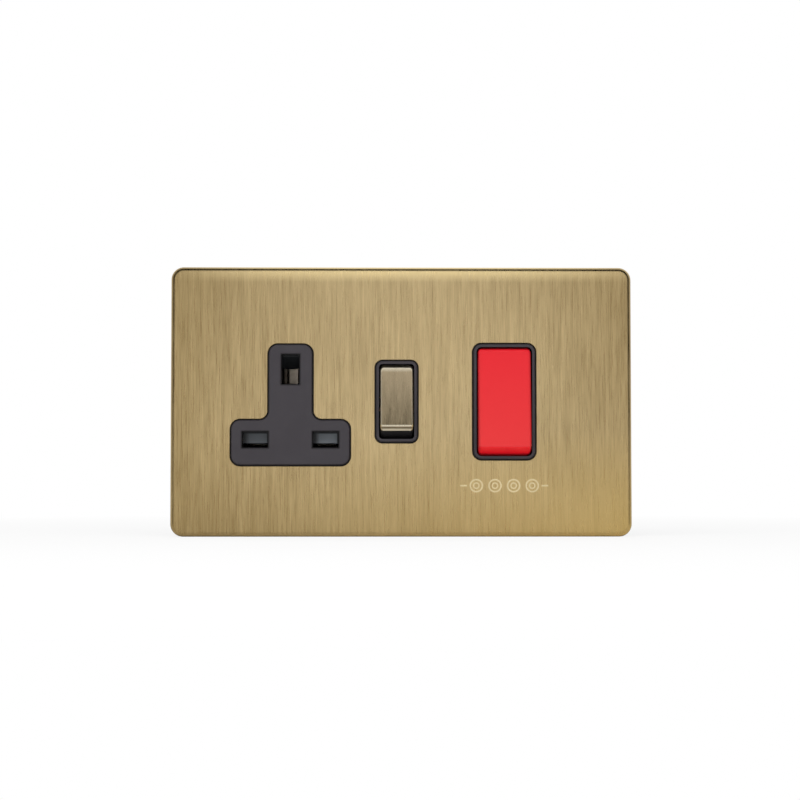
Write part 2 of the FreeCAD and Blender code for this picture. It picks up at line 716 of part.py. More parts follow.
def mounting_frame():
    piece = Piece("mounting_frame")
    lose = (s.plate_sheet + s.plate_fit) * 2
    width, height = s.plate_width - lose, s.plate_height - lose
    corner = s.plate_corner - s.plate_sheet - s.plate_fit
    piece.pad(FRONT, web_front, web_back, block(0, 0, width, height, corner))
    piece.pad(FRONT, boss_y, web_front, *[switch.bezel(size(0)) for switch in SWITCHES])
    piece.dress("Fillet", s.boss_edge_round, lambda edge: at_level(edge, boss_y))
    piece.pad(FRONT, web_back, 0, block(0, 0, width, height, corner),
              block(0, 0, width - s.frame_rim * 2, height - s.frame_rim * 2,
                    s.frame_inner_corner))
    lugs = [(s.box_screw_spacing / 2 * across, size(0)) for across in (-1, 1)]
    piece.pad(FRONT, web_back, 0,
              *[block(x, z, s.screw_lug_width, s.screw_lug_height, s.frame_inner_corner)
                for x, z in lugs],
              *[circle(x, z, s.clip_radius + s.clip_boss) for x, z in clip_places()])
    piece.pad(FRONT, web_back, s.post_joint_y,
              *[circle(x, z, s.post_radius) for x, z in post_places()])
    piece.pocket(FRONT, s.post_joint_y - s.case_screw_bite, s.post_joint_y,
                 *[circle(x, z, s.case_screw_radius + s.case_screw_fit)
                   for x, z in post_places()])
    piece.pocket(FRONT, web_front, 0,
                 *[circle(x, z, s.clip_radius + s.clip_fit) for x, z in clip_places()])
    recess = s.screw_recess_radius * 2
    spare = s.box_screw_slot_length - s.box_screw_slot_width
    piece.pocket(FRONT, web_front, -s.screw_lug_floor,
                 *[slot(x, z, spare + recess, recess) for x, z in lugs])
    piece.pocket(FRONT, -s.screw_lug_floor, 0,
                 *[slot(x, z, s.box_screw_slot_length, s.box_screw_slot_width)
                   for x, z in lugs])
    for switch in SWITCHES:
        bearing(piece, switch)
    piece.pocket(FRONT, boss_y, web_back,
                 *[switch.opening(size(0), switch.opening_corner) for switch in SWITCHES])
    piece.pocket(FRONT, boss_y + s.bezel_lip, web_back,
                 *[switch.opening(s.bezel_relief, s.opening_round) for switch in SWITCHES])
    piece.pocket(FRONT, web_front + s.frame_web / 2, web_back,
                 *[switch.opening(s.bezel_deep_relief, s.opening_round)
                   for switch in SWITCHES])
    piece.pocket(FRONT, web_front, face_back, socket_outline(s.face_fit))
    piece.pocket(FRONT, face_back, web_back, swept_outline())
    x = s.socket_x
    piece.pocket(FRONT, face_back, web_back, *line_holes(),
                 box(x - spring_space, x + spring_space, shutter_top, spring_end))
    piece.pad(FRONT, web_back, cover_back + s.peg_proud,
              *[circle(x + s.peg_offset * across, s.peg_z, s.peg_radius)
                for across in (-1, 1)])


def bearing(piece, switch):
    """Cheeks with round ends that carry a rocker's pivot pins."""
    inner = switch.opening_width / 2
    half = s.cheek_half
    for across in (-1, 1):
        near, far = switch.x + inner * across, switch.x + (inner + s.cheek_sheet) * across
        low, high = (near, far) if across > 0 else (far, near)
        piece.pad(SIDE, low, high, path(
            (web_back, -half), (s.pivot_y, -half, s.pivot_y, 0, half),
            (s.pivot_y + half, 0, s.pivot_y, 0, half), (s.pivot_y, half),
            (web_back, half)))
    outside = inner + s.cheek_sheet
    piece.pocket(SIDE, switch.x - outside, switch.x + outside,
                 circle(s.pivot_y, 0, s.pin_radius + s.pin_fit))


# Face of the socket, set into the frame, with the three pin apertures


def socket_face():
    piece = Piece("socket_face")
    piece.pad(FRONT, boss_y, face_back, socket_outline(size(0)))
    piece.dress("Fillet", s.boss_edge_round, lambda edge: at_level(edge, boss_y))
    holes = [(neutral_x, s.line_pin_z, line_hole_width, line_hole_height),
             (live_x, s.line_pin_z, line_hole_width, line_hole_height),
             (s.socket_x, earth_z, earth_hole_width, earth_hole_height)]
    piece.pocket(FRONT, boss_y, face_back, *[block(*hole) for hole in holes])

    def mouth(edge):
        middle = edge.BoundBox.Center
        inside = any(abs(middle.x - hole_x.value) < width.value / 2 + NEAR
                     and abs(middle.z - hole_z.value) < height.value / 2 + NEAR
                     for hole_x, hole_z, width, height in holes)
        return inside and at_level(edge, boss_y)

    piece.dress("Chamfer", s.aperture_chamfer, mouth)


# Shutter, its spring and its cover


def shutter():
    piece = Piece("shutter")
    x = s.socket_x
    piece.pad(FRONT, shutter_front, shutter_back, path(
        (x - wing_half, wing_low), (x + wing_half, wing_low), (x + wing_half, wing_high),
        (x + leg_outer, wing_high), (x + leg_outer, shutter_top),
        (x - leg_outer, shutter_top), (x - leg_outer, wing_high),
        (x - wing_half, wing_high)))
    piece.pocket(FRONT, shutter_front, shutter_back,
                 box(x - leg_inner, x + leg_inner, trunk_high, wedge_high))
    piece.pad(SIDE, x - leg_inner, x + leg_inner, path(
        (shutter_front, wedge_high), (wedge_back, wedge_low), (wedge_back, shutter_top),
        (shutter_front, shutter_top)))
    piece.pocket(SIDE, x - wing_half, x + wing_half, path(
        (shutter_front, wing_low), (shutter_back, wing_low),
        (shutter_front, wing_low + s.shutter_bevel)))


def shutter_cover():
    piece = Piece("shutter_cover")
    x = s.socket_x
    left = s.cover_fit - inner_x
    right = x + swept_half + s.cover_margin
    low = swept_low - s.cover_margin
    step = s.peg_z + s.peg_radius + s.cover_margin
    stem = swept_leg + s.cover_margin
    top = spring_end + s.cover_margin
    piece.pad(FRONT, web_back, cover_back, path(
        (left, low), (right, low), (right, step), (x + stem, step), (x + stem, top),
        (x - stem, top), (x - stem, step), (left, step)))
    piece.pocket(FRONT, web_back, cover_front, swept_outline())
    slide = leg_inner + s.shutter_gap
    piece.pocket(FRONT, cover_front, cover_back,
                 box(x - slide, x + slide, earth_z - earth_hole_height / 2, swept_top))
    piece.pocket(FRONT, web_back, cover_back, *line_holes(),
                 box(x - spring_space, x + spring_space, shutter_top, spring_end),
                 *[circle(x + s.peg_offset * across, s.peg_z, s.peg_radius + s.peg_fit)
                   for across in (-1, 1)])


def coil(name, length, radius, wire, turns, at, turn_axis, turn_angle):
    """A round-wire spring along its own Z, as a solid with flat facets."""
    steps, sides = 10, 5
    count = int(turns * steps)
    rings = []
    for index in range(count + 1):
        angle = 2 * math.pi * index / steps
        rise = wire.value / 2 + (length.value - wire.value) * index / count
        ring = []
        for side in range(sides):
            lean = 2 * math.pi * side / sides
            out = radius.value + wire.value / 2 * math.cos(lean)
            ring.append(FreeCAD.Vector(out * math.cos(angle), out * math.sin(angle),
                                       rise + wire.value / 2 * math.sin(lean)))
        rings.append(ring)
    faces = []
    for lower, upper in zip(rings, rings[1:]):
        for side in range(sides):
            after = (side + 1) % sides
            faces.append(facet(lower[side], lower[after], upper[after]))
            faces.append(facet(lower[side], upper[after], upper[side]))
    for ring in (rings[0], rings[-1]):
        faces.append(facet(*ring))
    solid = Part.Solid(Part.Shell(faces))
    if solid.Volume < 0:
        solid.reverse()
    spring = doc.addObject("Part::Feature", name)
    spring.Label = name
    spring.Shape = solid
    spring.Placement = FreeCAD.Placement(
        FreeCAD.Vector(*[value.value for value in at]),
        FreeCAD.Rotation(turn_axis, turn_angle.value))
    for axis, value in zip("xyz", at):
        bind(spring, "Placement.Base.%s" % axis, value)
    bind(spring, "Placement.Rotation.Angle", turn_angle)
    LOOSE.append(spring)


def facet(*corners):
    return Part.Face(Part.makePolygon(list(corners) + [corners[0]]))


def shutter_spring():
    coil("shutter_spring", s.spring_length, s.spring_radius, s.spring_wire, 6,
         (s.socket_x, spring_y, shutter_top), FreeCAD.Vector(0, 0, 1), size(0))


# Socket contacts


def clip_leaf(back_y, lead, throat, mouth, belly):
    """One leaf of a clip, out along its far side and back along its near one."""
    thick = s.contact_sheet
    run = s.contact_lead
    mouth_y = s.contact_mouth_y
    throat_y = mouth_y + lead
    belly_y = throat_y + run
    flare, rise = mouth - throat, belly - throat
    front = root(lead * lead + flare * flare)
    rear = root(run * run + rise * rise)
    fold = (lead * rise + flare * run) / (front * rear)
    bend_y = throat_y + thick * (run / rear - lead / front) / fold
    bend = throat + thick * (flare / front + rise / rear) / fold
    return [
        (back_y, belly + thick), (belly_y, belly + thick), (bend_y, bend),
        (mouth_y + thick * flare / front, mouth + thick * lead / front),
        (mouth_y, mouth), (throat_y, throat), (belly_y, belly), (back_y - thick, belly)]


def clip_outline(back_y, lead, grip, mouth, belly, offset):
    """Half-closed spring clip: pairs of depth and place across it."""
    low = clip_leaf(back_y, lead, grip - offset, mouth, belly)
    high = clip_leaf(back_y, lead, grip + offset, mouth, belly)
    return [(depth, -across) for depth, across in low] + high[::-1]


def line_contacts():
    for name, x in (("live_contact", live_x), ("neutral_contact", neutral_x)):
        piece = Piece(name, at=(x, 0, s.line_pin_z))
        half = s.contact_width / 2
        piece.pad(SIDE, -half, half, path(*clip_outline(
            strap_front, s.contact_lead, s.contact_grip / 2, s.contact_mouth / 2,
            s.contact_belly / 2, size(0))))


def earth_contact():
    piece = Piece("earth_contact", at=(s.socket_x, 0, earth_z - s.earth_contact_drop))
    half = s.earth_contact_height / 2
    outline = clip_outline(
        earth_back, s.earth_lead, s.earth_grip / 2, s.earth_mouth / 2,
        s.earth_belly / 2, s.earth_grip_offset)
    piece.pad(TOP, -half, half, path(*[(across, depth) for depth, across in outline]))
    piece.pad(FRONT, earth_back - s.contact_sheet, earth_back,
              box(-strap_half, strap_half, 0,
                  terminal_mid - earth_z + s.earth_contact_drop))


# Rockers, with the plungers that press the contact arms


def rocker_outline(switch, front, radius):
    """A rocker's side view, from a depth before the pivot to its rear edge."""
    front_z = switch.end_z(front, radius)
    rear_z = switch.end_z(s.rocker_rear, radius)
    return path(
        (-front, -front_z, 0, 0, radius), (-s.rocker_rear, -rear_z),
        (-s.rocker_rear, rear_z, 0, 0, radius), (-front, front_z))


def rocker_body(switch, front, corner):
    """Hollow rocker with ears, pivot pins and a tube for each plunger."""
    piece = Piece(switch.name + "_rocker", at=(switch.x, s.pivot_y, 0), lean=-switch.tilt)
    half = switch.rocker_width / 2
    piece.pad(SIDE, -half, half, rocker_outline(switch, front, switch.body_radius))
    piece.dress("Fillet", corner, is_round)
    floor = front - s.rocker_wall
    hollow = switch.end_z(floor, switch.body_radius) - s.rocker_wall
    piece.pocket(FRONT, -floor, -s.rocker_rear,
                 block(0, 0, switch.rocker_width - s.rocker_wall * 2, hollow * 2))
    piece.pad(FRONT, -floor, s.stem_reach,
              *[circle(x, 0, s.stem_radius) for x in switch.stems])
    piece.pocket(FRONT, s.bore_floor, s.stem_reach,
                 *[circle(x, 0, s.plunger_radius + s.plunger_fit) for x in switch.stems])
    ear = s.ear_half
    root_y = -s.rocker_rear - s.rocker_wall / 2
    for across in (-1, 1):
        near, far = (half - s.rocker_wall) * across, half * across
        low, high = (near, far) if across > 0 else (far, near)
        piece.pad(SIDE, low, high, path(
            (root_y, -ear), (0, -ear, 0, 0, ear), (ear, 0, 0, 0, ear), (0, ear),
            (root_y, ear)))
        near, far = half * across, (half + s.pin_length) * across
        low, high = (near, far) if across > 0 else (far, near)
        piece.pad(SIDE, low, high, circle(0, 0, s.pin_radius))
    return piece


def is_round(edge):
    return isinstance(edge.Curve, Part.Circle)


def cooker_rocker():
    piece = rocker_body(cooker_switch, s.rocker_face, s.rocker_corner)
    piece.dress("Fillet", s.cooker_face_round, on_face)


def on_face(edge):
    """True where an edge bounds a rocker's face, in the rocker's own frame."""
    return at_level(edge, -s.rocker_face)


def socket_rocker():
    front = s.rocker_face - s.cap_skirt
    piece = rocker_body(socket_switch, front, s.cap_corner)
    nose = s.socket_rocker_half - s.cap_wall - s.cap_fit
    side = socket_switch.rocker_width / 2 - s.cap_wall - s.cap_fit
    piece.pad(FRONT, s.cap_sheet + s.cap_fit - s.rocker_face, -front,
              block(0, 0, side * 2, nose * 2))


def socket_rocker_cap():
    piece = Piece("socket_rocker_cap", at=(s.socket_switch_x, s.pivot_y, 0),
                  lean=-s.socket_rocker_tilt)
    half = socket_switch.rocker_width / 2
    radius = socket_switch.end_radius
    front, rear = s.rocker_face, s.rocker_face - s.cap_skirt
    front_z, rear_z = s.socket_rocker_half, socket_switch.end_z(rear, radius)
    piece.pad(SIDE, -half, half, path(
        (-front, -front_z, 0, 0, radius), (-rear, -rear_z), (-rear, rear_z, 0, 0, radius),
        (-front, front_z)))
    piece.dress("Fillet", s.cap_corner, is_round)
    piece.pocket(FRONT, s.cap_sheet - front, -rear,
                 block(0, 0, (half - s.cap_wall) * 2, (front_z - s.cap_wall) * 2))
    piece.dress("Fillet", s.cap_round, on_face)


def plungers():
    for name, switch, offset in (
            ("socket", socket_switch, size(0)), ("live", cooker_switch, s.pole_offset),
            ("neutral", cooker_switch, -s.pole_offset)):
        place = (switch.x + offset, s.pivot_y, 0)
        piece = Piece(name + "_plunger", at=place, lean=-switch.tilt)
        tip = s.plunger_reach
        shoulder = tip - s.plunger_nose * 2
        piece.revolve(path(
            (s.plunger_tail, 0), (tip, 0, tip - s.plunger_nose, 0, s.plunger_nose),
            (tip - s.plunger_nose, s.plunger_nose), (shoulder, s.plunger_radius),
            (s.plunger_tail, s.plunger_radius)))
        start = (switch.x + offset, s.pivot_y + s.bore_floor * cosine(switch.tilt),
                 -s.bore_floor * sine(switch.tilt))
        coil(name + "_plunger_spring", s.plunger_tail - s.bore_floor,
             s.plunger_radius - s.spring_wire, s.spring_wire, 5, start,
             FreeCAD.Vector(1, 0, 0), -90 - switch.tilt)


def contact_arms():
    """Bent see-saw arms, each with a contact tip behind its upper end."""
    bend = s.arm_tilt
    for name, x in (("socket_contact", s.socket_switch_x), ("cooker_live", live_pole_x),
                    ("cooker_neutral", neutral_pole_x)):
        piece = Piece(name + "_arm", at=(x, arm_back, 0), lean=bend)
        end_y, end_z = -s.arm_half * sine(bend), s.arm_half * cosine(bend)
        thick_y, thick_z = s.arm_sheet * cosine(bend), s.arm_sheet * sine(bend)
        half = s.arm_width / 2
        piece.pad(SIDE, -half, half, path(
            (0, 0), (end_y, end_z), (end_y - thick_y, end_z - thick_z),
            (-s.arm_sheet / cosine(bend), 0), (end_y - thick_y, thick_z - end_z),
            (end_y, -end_z)))
        piece.pad(SIDE, -half, half, circle(0, 0, s.fulcrum_radius))
        place = (x, arm_back - s.rivet_place * sine(bend * 2),
                 s.rivet_place * cosine(bend * 2))
        tip = Piece(name + "_arm_tip", at=place, lean=bend * 2)
        tip.pad(FRONT, 0, s.rivet_height, circle(0, 0, s.rivet_radius))


# Copper straps and bars


def straps():
    tall = s.rivet_place - s.rivet_radius - s.strap_margin
    fixed = (
        ("socket_fixed_contact", s.socket_switch_x, s.live_bar_z + s.bar_width / 2),
        ("live_supply_contact", live_pole_x, strap_end),
        ("neutral_supply_contact", neutral_pole_x, strap_end))
    for name, x, high in fixed:
        piece = Piece(name)
        piece.pad(FRONT, fixed_front, fixed_back,
                  box(x - strap_half, x + strap_half, tall, high))
    piece = Piece("fixed_contact_tips")
    piece.pad(FRONT, tip_front, fixed_front,
              *[circle(x, s.rivet_place, s.rivet_radius) for name, x, high in fixed])
    for name, x in (("live_load_strap", live_pole_x), ("neutral_load_strap", neutral_pole_x)):
        piece = Piece(name)
        piece.pad(FRONT, strap_front, strap_back,
                  box(x - strap_half, x + strap_half, -strap_end, strap_half))


def live_link():
    piece = Piece("live_link")
    low = s.line_pin_z - s.contact_belly / 2 - s.contact_sheet
    piece.pad(FRONT, strap_front, strap_back, path(
        (live_x - strap_half, low), (live_x + strap_half, low),
        (live_x + strap_half, -strap_half), (s.socket_switch_x + strap_half, -strap_half),
        (s.socket_switch_x + strap_half, strap_half), (live_x - strap_half, strap_half)))


def bars():
    half = s.bar_width / 2
    piece = Piece("live_bar")
    piece.pad(FRONT, live_bar_front, live_bar_front + s.bar_sheet,
              box(s.socket_switch_x - strap_half, live_pole_x + strap_half,
                  s.live_bar_z - half, s.live_bar_z + half))
    piece.pad(FRONT, fixed_back, live_bar_front,
              circle(s.socket_switch_x, s.live_bar_z, s.bar_boss_radius),
              circle(live_pole_x, s.live_bar_z, s.bar_boss_radius))
    piece = Piece("neutral_bar")
    low, high = s.neutral_bar_z - half, s.neutral_bar_z + half
    right = neutral_pole_x + strap_half
    foot = s.line_pin_z - s.contact_belly / 2 - s.contact_sheet
    piece.pad(FRONT, strap_front, neutral_bar_back, path(
        (neutral_x - half, foot), (neutral_x + half, foot), (neutral_x + half, low),
        (right, low), (right, strap_end), (right - s.strap_width, strap_end),
        (right - s.strap_width, high), (neutral_x - half, high)))


# Terminals and their screws


def terminal(name, x, up, width, wires, back, slots):
    """A drilled brass block: wires enter from above or below, screws from behind."""
    piece = Piece(name)
    low, high = (terminal_low, terminal_high) if up > 0 else (-terminal_high, -terminal_low)
    front = s.terminal_front
    piece.pad(TOP, low, high,
              box(x - width / 2, x + width / 2, front, back, s.terminal_round))
    bore = (high - s.wire_depth, high) if up > 0 else (low, low + s.wire_depth)
    piece.pocket(TOP, bore[0], bore[1], *[circle(x + wire, wire_y, s.wire_radius)
                                          for wire in wires])
    middle = terminal_mid * up
    piece.pocket(FRONT, wire_y, back,
                 *[circle(x + wire, middle, s.terminal_screw_radius + s.case_screw_fit)
                   for wire in wires])
    seat = (low, low + s.strap_seat) if up > 0 else (high - s.strap_seat, high)
    for slot_x, slot_front, slot_back in slots:
        piece.pocket(TOP, seat[0], seat[1],
                     box(slot_x - strap_half - s.strap_fit, slot_x + strap_half + s.strap_fit,
                         slot_front - s.strap_fit, slot_back + s.strap_fit))


def terminals():
    width = s.terminal_width
    terminal("live_supply_terminal", live_terminal_x, 1, width, [size(0)], terminal_back,
             [(live_pole_x, fixed_front, fixed_back)])
    terminal("neutral_supply_terminal", neutral_terminal_x, 1, width, [size(0)],
             terminal_back, [(neutral_pole_x, strap_front, fixed_back)])
    terminal("live_load_terminal", live_terminal_x, -1, width, [size(0)], terminal_back,
             [(live_pole_x, strap_front, strap_back)])
    terminal("neutral_load_terminal", neutral_terminal_x, -1, width, [size(0)],
             terminal_back, [(neutral_pole_x, strap_front, strap_back)])
    terminal("earth_terminal", s.socket_x, 1, s.earth_terminal_width,
             [-s.earth_wire_offset, s.earth_wire_offset], earth_back - s.contact_sheet, [])


def screw_places():
    """Place across, height and seat of each terminal screw."""
    places = [(x, terminal_mid * up, terminal_back)
              for x in (live_terminal_x, neutral_terminal_x) for up in (1, -1)]
    seat = earth_back
    places += [(s.socket_x + s.earth_wire_offset * across, terminal_mid, seat)
               for across in (-1, 1)]
    return places


def terminal_screws():
    piece = Piece("terminal_screws")
    tip = wire_y + s.wire_radius + s.terminal_screw_back
    for x, z, seat in screw_places():
        head = seat + s.terminal_screw_lift
        top = head + s.terminal_screw_rise
        piece.pad(FRONT, tip, head, circle(x, z, s.terminal_screw_radius))
        piece.pad(FRONT, head, top, circle(x, z, s.terminal_screw_head))
        piece.pocket(FRONT, top - s.terminal_screw_slot, top,
                     block(x, z, s.terminal_screw_head * 3, s.terminal_screw_slot))


# Rear housing and its screws


def rear_housing():
    piece = Piece("rear_housing")
    wall = s.housing_wall
    piece.pad(FRONT, web_back, s.housing_back,
              block(0, 0, s.housing_width, s.housing_height, s.housing_corner))
    piece.dress("Fillet", s.housing_back_round,
                lambda edge: at_level(edge, s.housing_back))
    piece.pocket(FRONT, web_back, inner_back,
                 block(0, 0, s.housing_width - wall * 2, s.housing_height - wall * 2,
                       s.housing_corner - wall))
    piece.pad(FRONT, s.post_joint_y, inner_back,
              *[circle(x, z, s.post_radius) for x, z in post_places()])
    piece.pocket(FRONT, s.post_joint_y, s.housing_back,
                 *[circle(x, z, s.case_screw_radius + s.case_screw_fit)
                   for x, z in post_places()])
    piece.pocket(FRONT, s.housing_back - s.case_screw_sink, s.housing_back,
                 *[circle(x, z, s.case_screw_head + s.case_screw_fit * 2)
                   for x, z in post_places()])
    piece.pocket(FRONT, inner_back, s.housing_back,
                 *[circle(x, z, s.well_radius) for x, z, seat in screw_places()])
    piece.pocket(TOP, inner_z, inner_z + wall,
                 *[circle(x, wire_y, s.wire_hole) for x in wire_places(1)])
    piece.pocket(TOP, -inner_z - wall, -inner_z,
                 *[circle(x, wire_y, s.wire_hole) for x in wire_places(-1)])


def wire_places(up):
    places = [live_terminal_x, neutral_terminal_x]
    if up > 0:
        places += [s.socket_x - s.earth_wire_offset, s.socket_x + s.earth_wire_offset]
    return places


# Carrier inside the housing: barriers, blocks for the contacts and screwdriver tubes


def contact_carrier():
    piece = Piece("contact_carrier")
    fit = s.carrier_fit
    piece.pad(FRONT, carrier_front, inner_back,
              block(0, 0, (inner_x - fit) * 2, (inner_z - fit) * 2))
    barriers(piece)
    contact_blocks(piece)
    for x, z, seat in screw_places():
        start = seat + s.terminal_gap
        piece.pad(FRONT, start, carrier_front, circle(x, z, s.well_radius + s.well_wall))
        piece.pocket(FRONT, start, inner_back, circle(x, z, s.well_radius))
    piece.pocket(FRONT, carrier_front, inner_back,
                 *[block(x, z, corner_gap, corner_gap) for x, z in post_places()])


def barriers(piece):
    """Walls between the poles and the chambers, open where a bar crosses."""
    half = s.rib_sheet / 2
    edge = inner_z - s.carrier_fit
    live_low, live_high = (s.live_bar_z - s.bar_width / 2 - s.rib_gap,
                           s.live_bar_z + s.bar_width / 2 + s.rib_gap)
    bar_low, bar_high = (s.neutral_bar_z - s.bar_width / 2 - s.rib_gap,
                         s.neutral_bar_z + s.bar_width / 2 + s.rib_gap)
    link = strap_half + s.rib_gap
    ribs = (
        (s.cooker_switch_x, -edge, live_low), (s.cooker_switch_x, live_high, edge),
        (s.socket_rib_x, -edge, -link), (s.socket_rib_x, link, bar_low),
        (s.socket_rib_x, bar_high, edge),
        (s.switch_rib_x, -edge, live_low), (s.switch_rib_x, bar_high, edge))
    for x, low, high in ribs:
        piece.pad(FRONT, s.rib_front, carrier_front, box(x - half, x + half, low, high))


def contact_blocks(piece):
    """Blocks that hold the contacts and straps in place."""
    seats = (
        (neutral_bar_back, neutral_x, s.line_pin_z), (strap_back, live_x, s.line_pin_z),
        (strap_back, s.socket_switch_x, size(0)), (strap_back, live_pole_x, -s.seat_low),
        (strap_back, neutral_pole_x, -s.seat_low),
        (fixed_back, s.socket_switch_x, s.rivet_place),
        (fixed_back, live_pole_x, s.rivet_place),
        (fixed_back, neutral_pole_x, s.rivet_place), (earth_back, s.socket_x, earth_z))
    for start, x, z in seats:
        piece.pad(FRONT, start, carrier_front, block(x, z, s.seat_width, s.seat_width))


def housing_screws():
    piece = Piece("housing_screws")
    head = s.housing_back - s.case_screw_sink
    top = head + s.case_screw_rise
    piece.pad(FRONT, s.post_joint_y - s.case_screw_bite + s.rib_gap, head,
              *[circle(x, z, s.case_screw_radius) for x, z in post_places()])
    piece.pad(FRONT, head, top, *[circle(x, z, s.case_screw_head) for x, z in post_places()])
    for turn in (0, 1):
        long, short = s.case_screw_head, s.case_screw_cross
        width, height = (long, short) if turn else (short, long)
        piece.pocket(FRONT, top - s.case_screw_cross, top,
                     *[block(x, z, width, height) for x, z in post_places()])


for make in (front_plate, plate_clips, mounting_frame, socket_face, shutter, shutter_spring,
             shutter_cover, line_contacts, earth_contact, socket_rocker,
             socket_rocker_cap, cooker_rocker, plungers, contact_arms, straps,
             live_link, bars, terminals, terminal_screws, rear_housing, contact_carrier,
             housing_screws):
    make()
doc.recompute()

for thing in doc.Objects:
    if any(word in thing.State for word in ("Invalid", "Error")):
        raise RuntimeError("%s did not build: %s" % (thing.Name, thing.State))
for cut in CUTS:
    if cut.Shape.Volume >= cut.BaseFeature.Shape.Volume - 1e-6:
        raise RuntimeError("%s takes nothing away" % cut.Name)
finished = [piece.body for piece in PIECES] + LOOSE
for part in finished:
    if part.Shape.isNull() or not part.Shape.isValid():
        raise RuntimeError("%s has no valid shape" % part.Label)

os.makedirs("parts", exist_ok=True)
for part in finished:
    part.Shape.exportStep("parts/%s.step" % part.Label)
    print("%-26s %d solid(s) %9.2f mm3" % (part.Label, len(part.Shape.Solids),
                                           part.Shape.Volume))
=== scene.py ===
"""Finishes, printed marks and stage of a cooker control unit."""

import json
import math

import bmesh
import bpy
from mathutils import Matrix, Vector


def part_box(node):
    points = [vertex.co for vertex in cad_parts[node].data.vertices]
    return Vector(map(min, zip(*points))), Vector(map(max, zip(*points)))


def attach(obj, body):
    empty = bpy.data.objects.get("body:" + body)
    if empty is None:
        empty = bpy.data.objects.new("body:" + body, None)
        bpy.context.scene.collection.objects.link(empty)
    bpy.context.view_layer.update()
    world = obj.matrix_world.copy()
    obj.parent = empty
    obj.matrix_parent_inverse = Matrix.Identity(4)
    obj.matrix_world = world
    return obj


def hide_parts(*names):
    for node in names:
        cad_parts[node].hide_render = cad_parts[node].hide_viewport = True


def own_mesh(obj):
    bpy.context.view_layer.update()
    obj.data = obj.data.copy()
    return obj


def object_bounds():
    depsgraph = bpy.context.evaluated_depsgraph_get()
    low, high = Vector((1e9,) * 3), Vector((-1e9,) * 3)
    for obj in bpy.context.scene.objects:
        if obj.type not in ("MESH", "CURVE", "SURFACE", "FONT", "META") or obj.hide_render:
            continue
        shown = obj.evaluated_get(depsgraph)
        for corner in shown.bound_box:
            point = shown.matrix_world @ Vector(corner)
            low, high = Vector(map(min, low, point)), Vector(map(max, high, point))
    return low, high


bl_info = {
    "name": "Cooker Control Unit Finishes",
    "version": (1, 0, 0),
    "blender": (4, 5, 0),
    "location": "3D View > Sidebar > Cooker Unit",
    "description": "Finishes, printed marks and stage of a cooker control unit",
    "category": "Object",
}

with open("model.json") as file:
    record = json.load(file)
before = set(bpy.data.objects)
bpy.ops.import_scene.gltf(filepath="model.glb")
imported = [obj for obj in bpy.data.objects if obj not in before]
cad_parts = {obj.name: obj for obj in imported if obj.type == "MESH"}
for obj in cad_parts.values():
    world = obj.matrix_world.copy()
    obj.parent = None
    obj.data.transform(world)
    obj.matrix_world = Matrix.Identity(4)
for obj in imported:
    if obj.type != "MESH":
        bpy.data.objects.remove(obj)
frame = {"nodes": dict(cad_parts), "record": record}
CAD_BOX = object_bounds()

# The photograph's frame, in pixels, and where it shows the middle of the plate
PHOTO_WIDTH = 800
PHOTO_MIDDLE = 400
PLATE_MIDDLE_X = 401.5
PLATE_MIDDLE_Y = 401.5
PIXELS_PER_METRE = 3160
SENSOR_MM = 36

# How far a pivot pin stands out of each side of a rocker
PIVOT_PIN = 0.0015

# Width and height of the holes for the plug's pins
LINE_HOLE = (0.00805, 0.0049)
EARTH_HOLE = (0.0055, 0.0093)

# Brush strokes and clouds in the brass, in waves per metre along X, Y and Z
FINE_STROKES = (2700, 2700, 110)
BROAD_STROKES = (760, 760, 34)
BRASS_CLOUDS = (38, 38, 20)

# Skins of the mouldings: waves per metre, and depth
POLISHED_SKIN = (2200, 0.000006)
SHUTTER_SKIN = (2600, 0.000006)
RED_SKIN = (1500, 0.000004)
NYLON_SKIN = (3000, 0.00001)
HOUSING_GRAIN = 1700

# Mottling in moulded plastic, in waves per metre
MOTTLING = 90
SHUTTER_MOTTLING = 120

# Fine lines along rolled or turned metal, and patches in it, in waves per metre
CONTACT_LINES = (2400, 90, 2400)
STRAP_LINES = (2400, 2400, 70)
TERMINAL_LINES = (2600, 2600, 120)
TARNISH_PATCHES = 240
PLATING_PATCHES = 400
SPANGLE = 1500

# The hob sign: places of its rings in ring steps, radii of the small ring inside each as
# shares of the ring's, and strokes worn into the ink in waves per metre
RING_PLACES = (-1.5, -0.5, 0.5, 1.5)
SMALL_RING = (0.3, 0.5)
INK_STROKES = (1800, 1800, 60)

# Straight sides in the outline of a ring, of the small ring and of a well's rim
RING_SIDES = 48
SMALL_RING_SIDES = 24
RIM_SIDES = 40

# The shutter's spring: steps in a turn, sides of the wire, rise of a closed turn in wires
COIL_STEPS = 24
WIRE_SIDES = 10
CLOSED_RISE = 1.05

# Places on the back of the housing: the wells over the terminal screws, and the signs
WELLS = ((-0.0302, 0.02485), (-0.04, 0.02485), (0.02585, 0.02485), (0.03925, 0.02485),
         (0.02585, -0.02485), (0.03925, -0.02485))
EARTH_SIGN = (-0.0351, 0.0165)
SUPPLY_SIGN = (0.03255, 0.0165)
LOAD_SIGN = (0.03255, -0.0165)

# Shapes of those signs in shares of their height: the earth sign's bars, the arrow's stem by
# its middle and height, and the arrow's head by its half width, top and tip
EARTH_BARS = (0.9, 0.6, 0.3)
EARTH_BAR_STEP = 0.2
ARROW_STEM = (0.35, 0.4)
ARROW_HEAD = (0.25, 0.15, -0.35)

# The floor: half its side, where it fades into the background, and how far it does before
FLOOR_REACH = 3
FLOOR_FADE = (0.12, 0.4)
FLOOR_GLOW = 0.8

# Lamps: place, width and height
KEY_LAMP = ((-0.08, -0.5, 0.55), 0.7, 0.35)
LEFT_LAMP = ((-0.7, -0.6, 0.15), 0.4, 0.6)
RIGHT_LAMP = ((0.7, -0.6, 0.15), 0.4, 0.6)

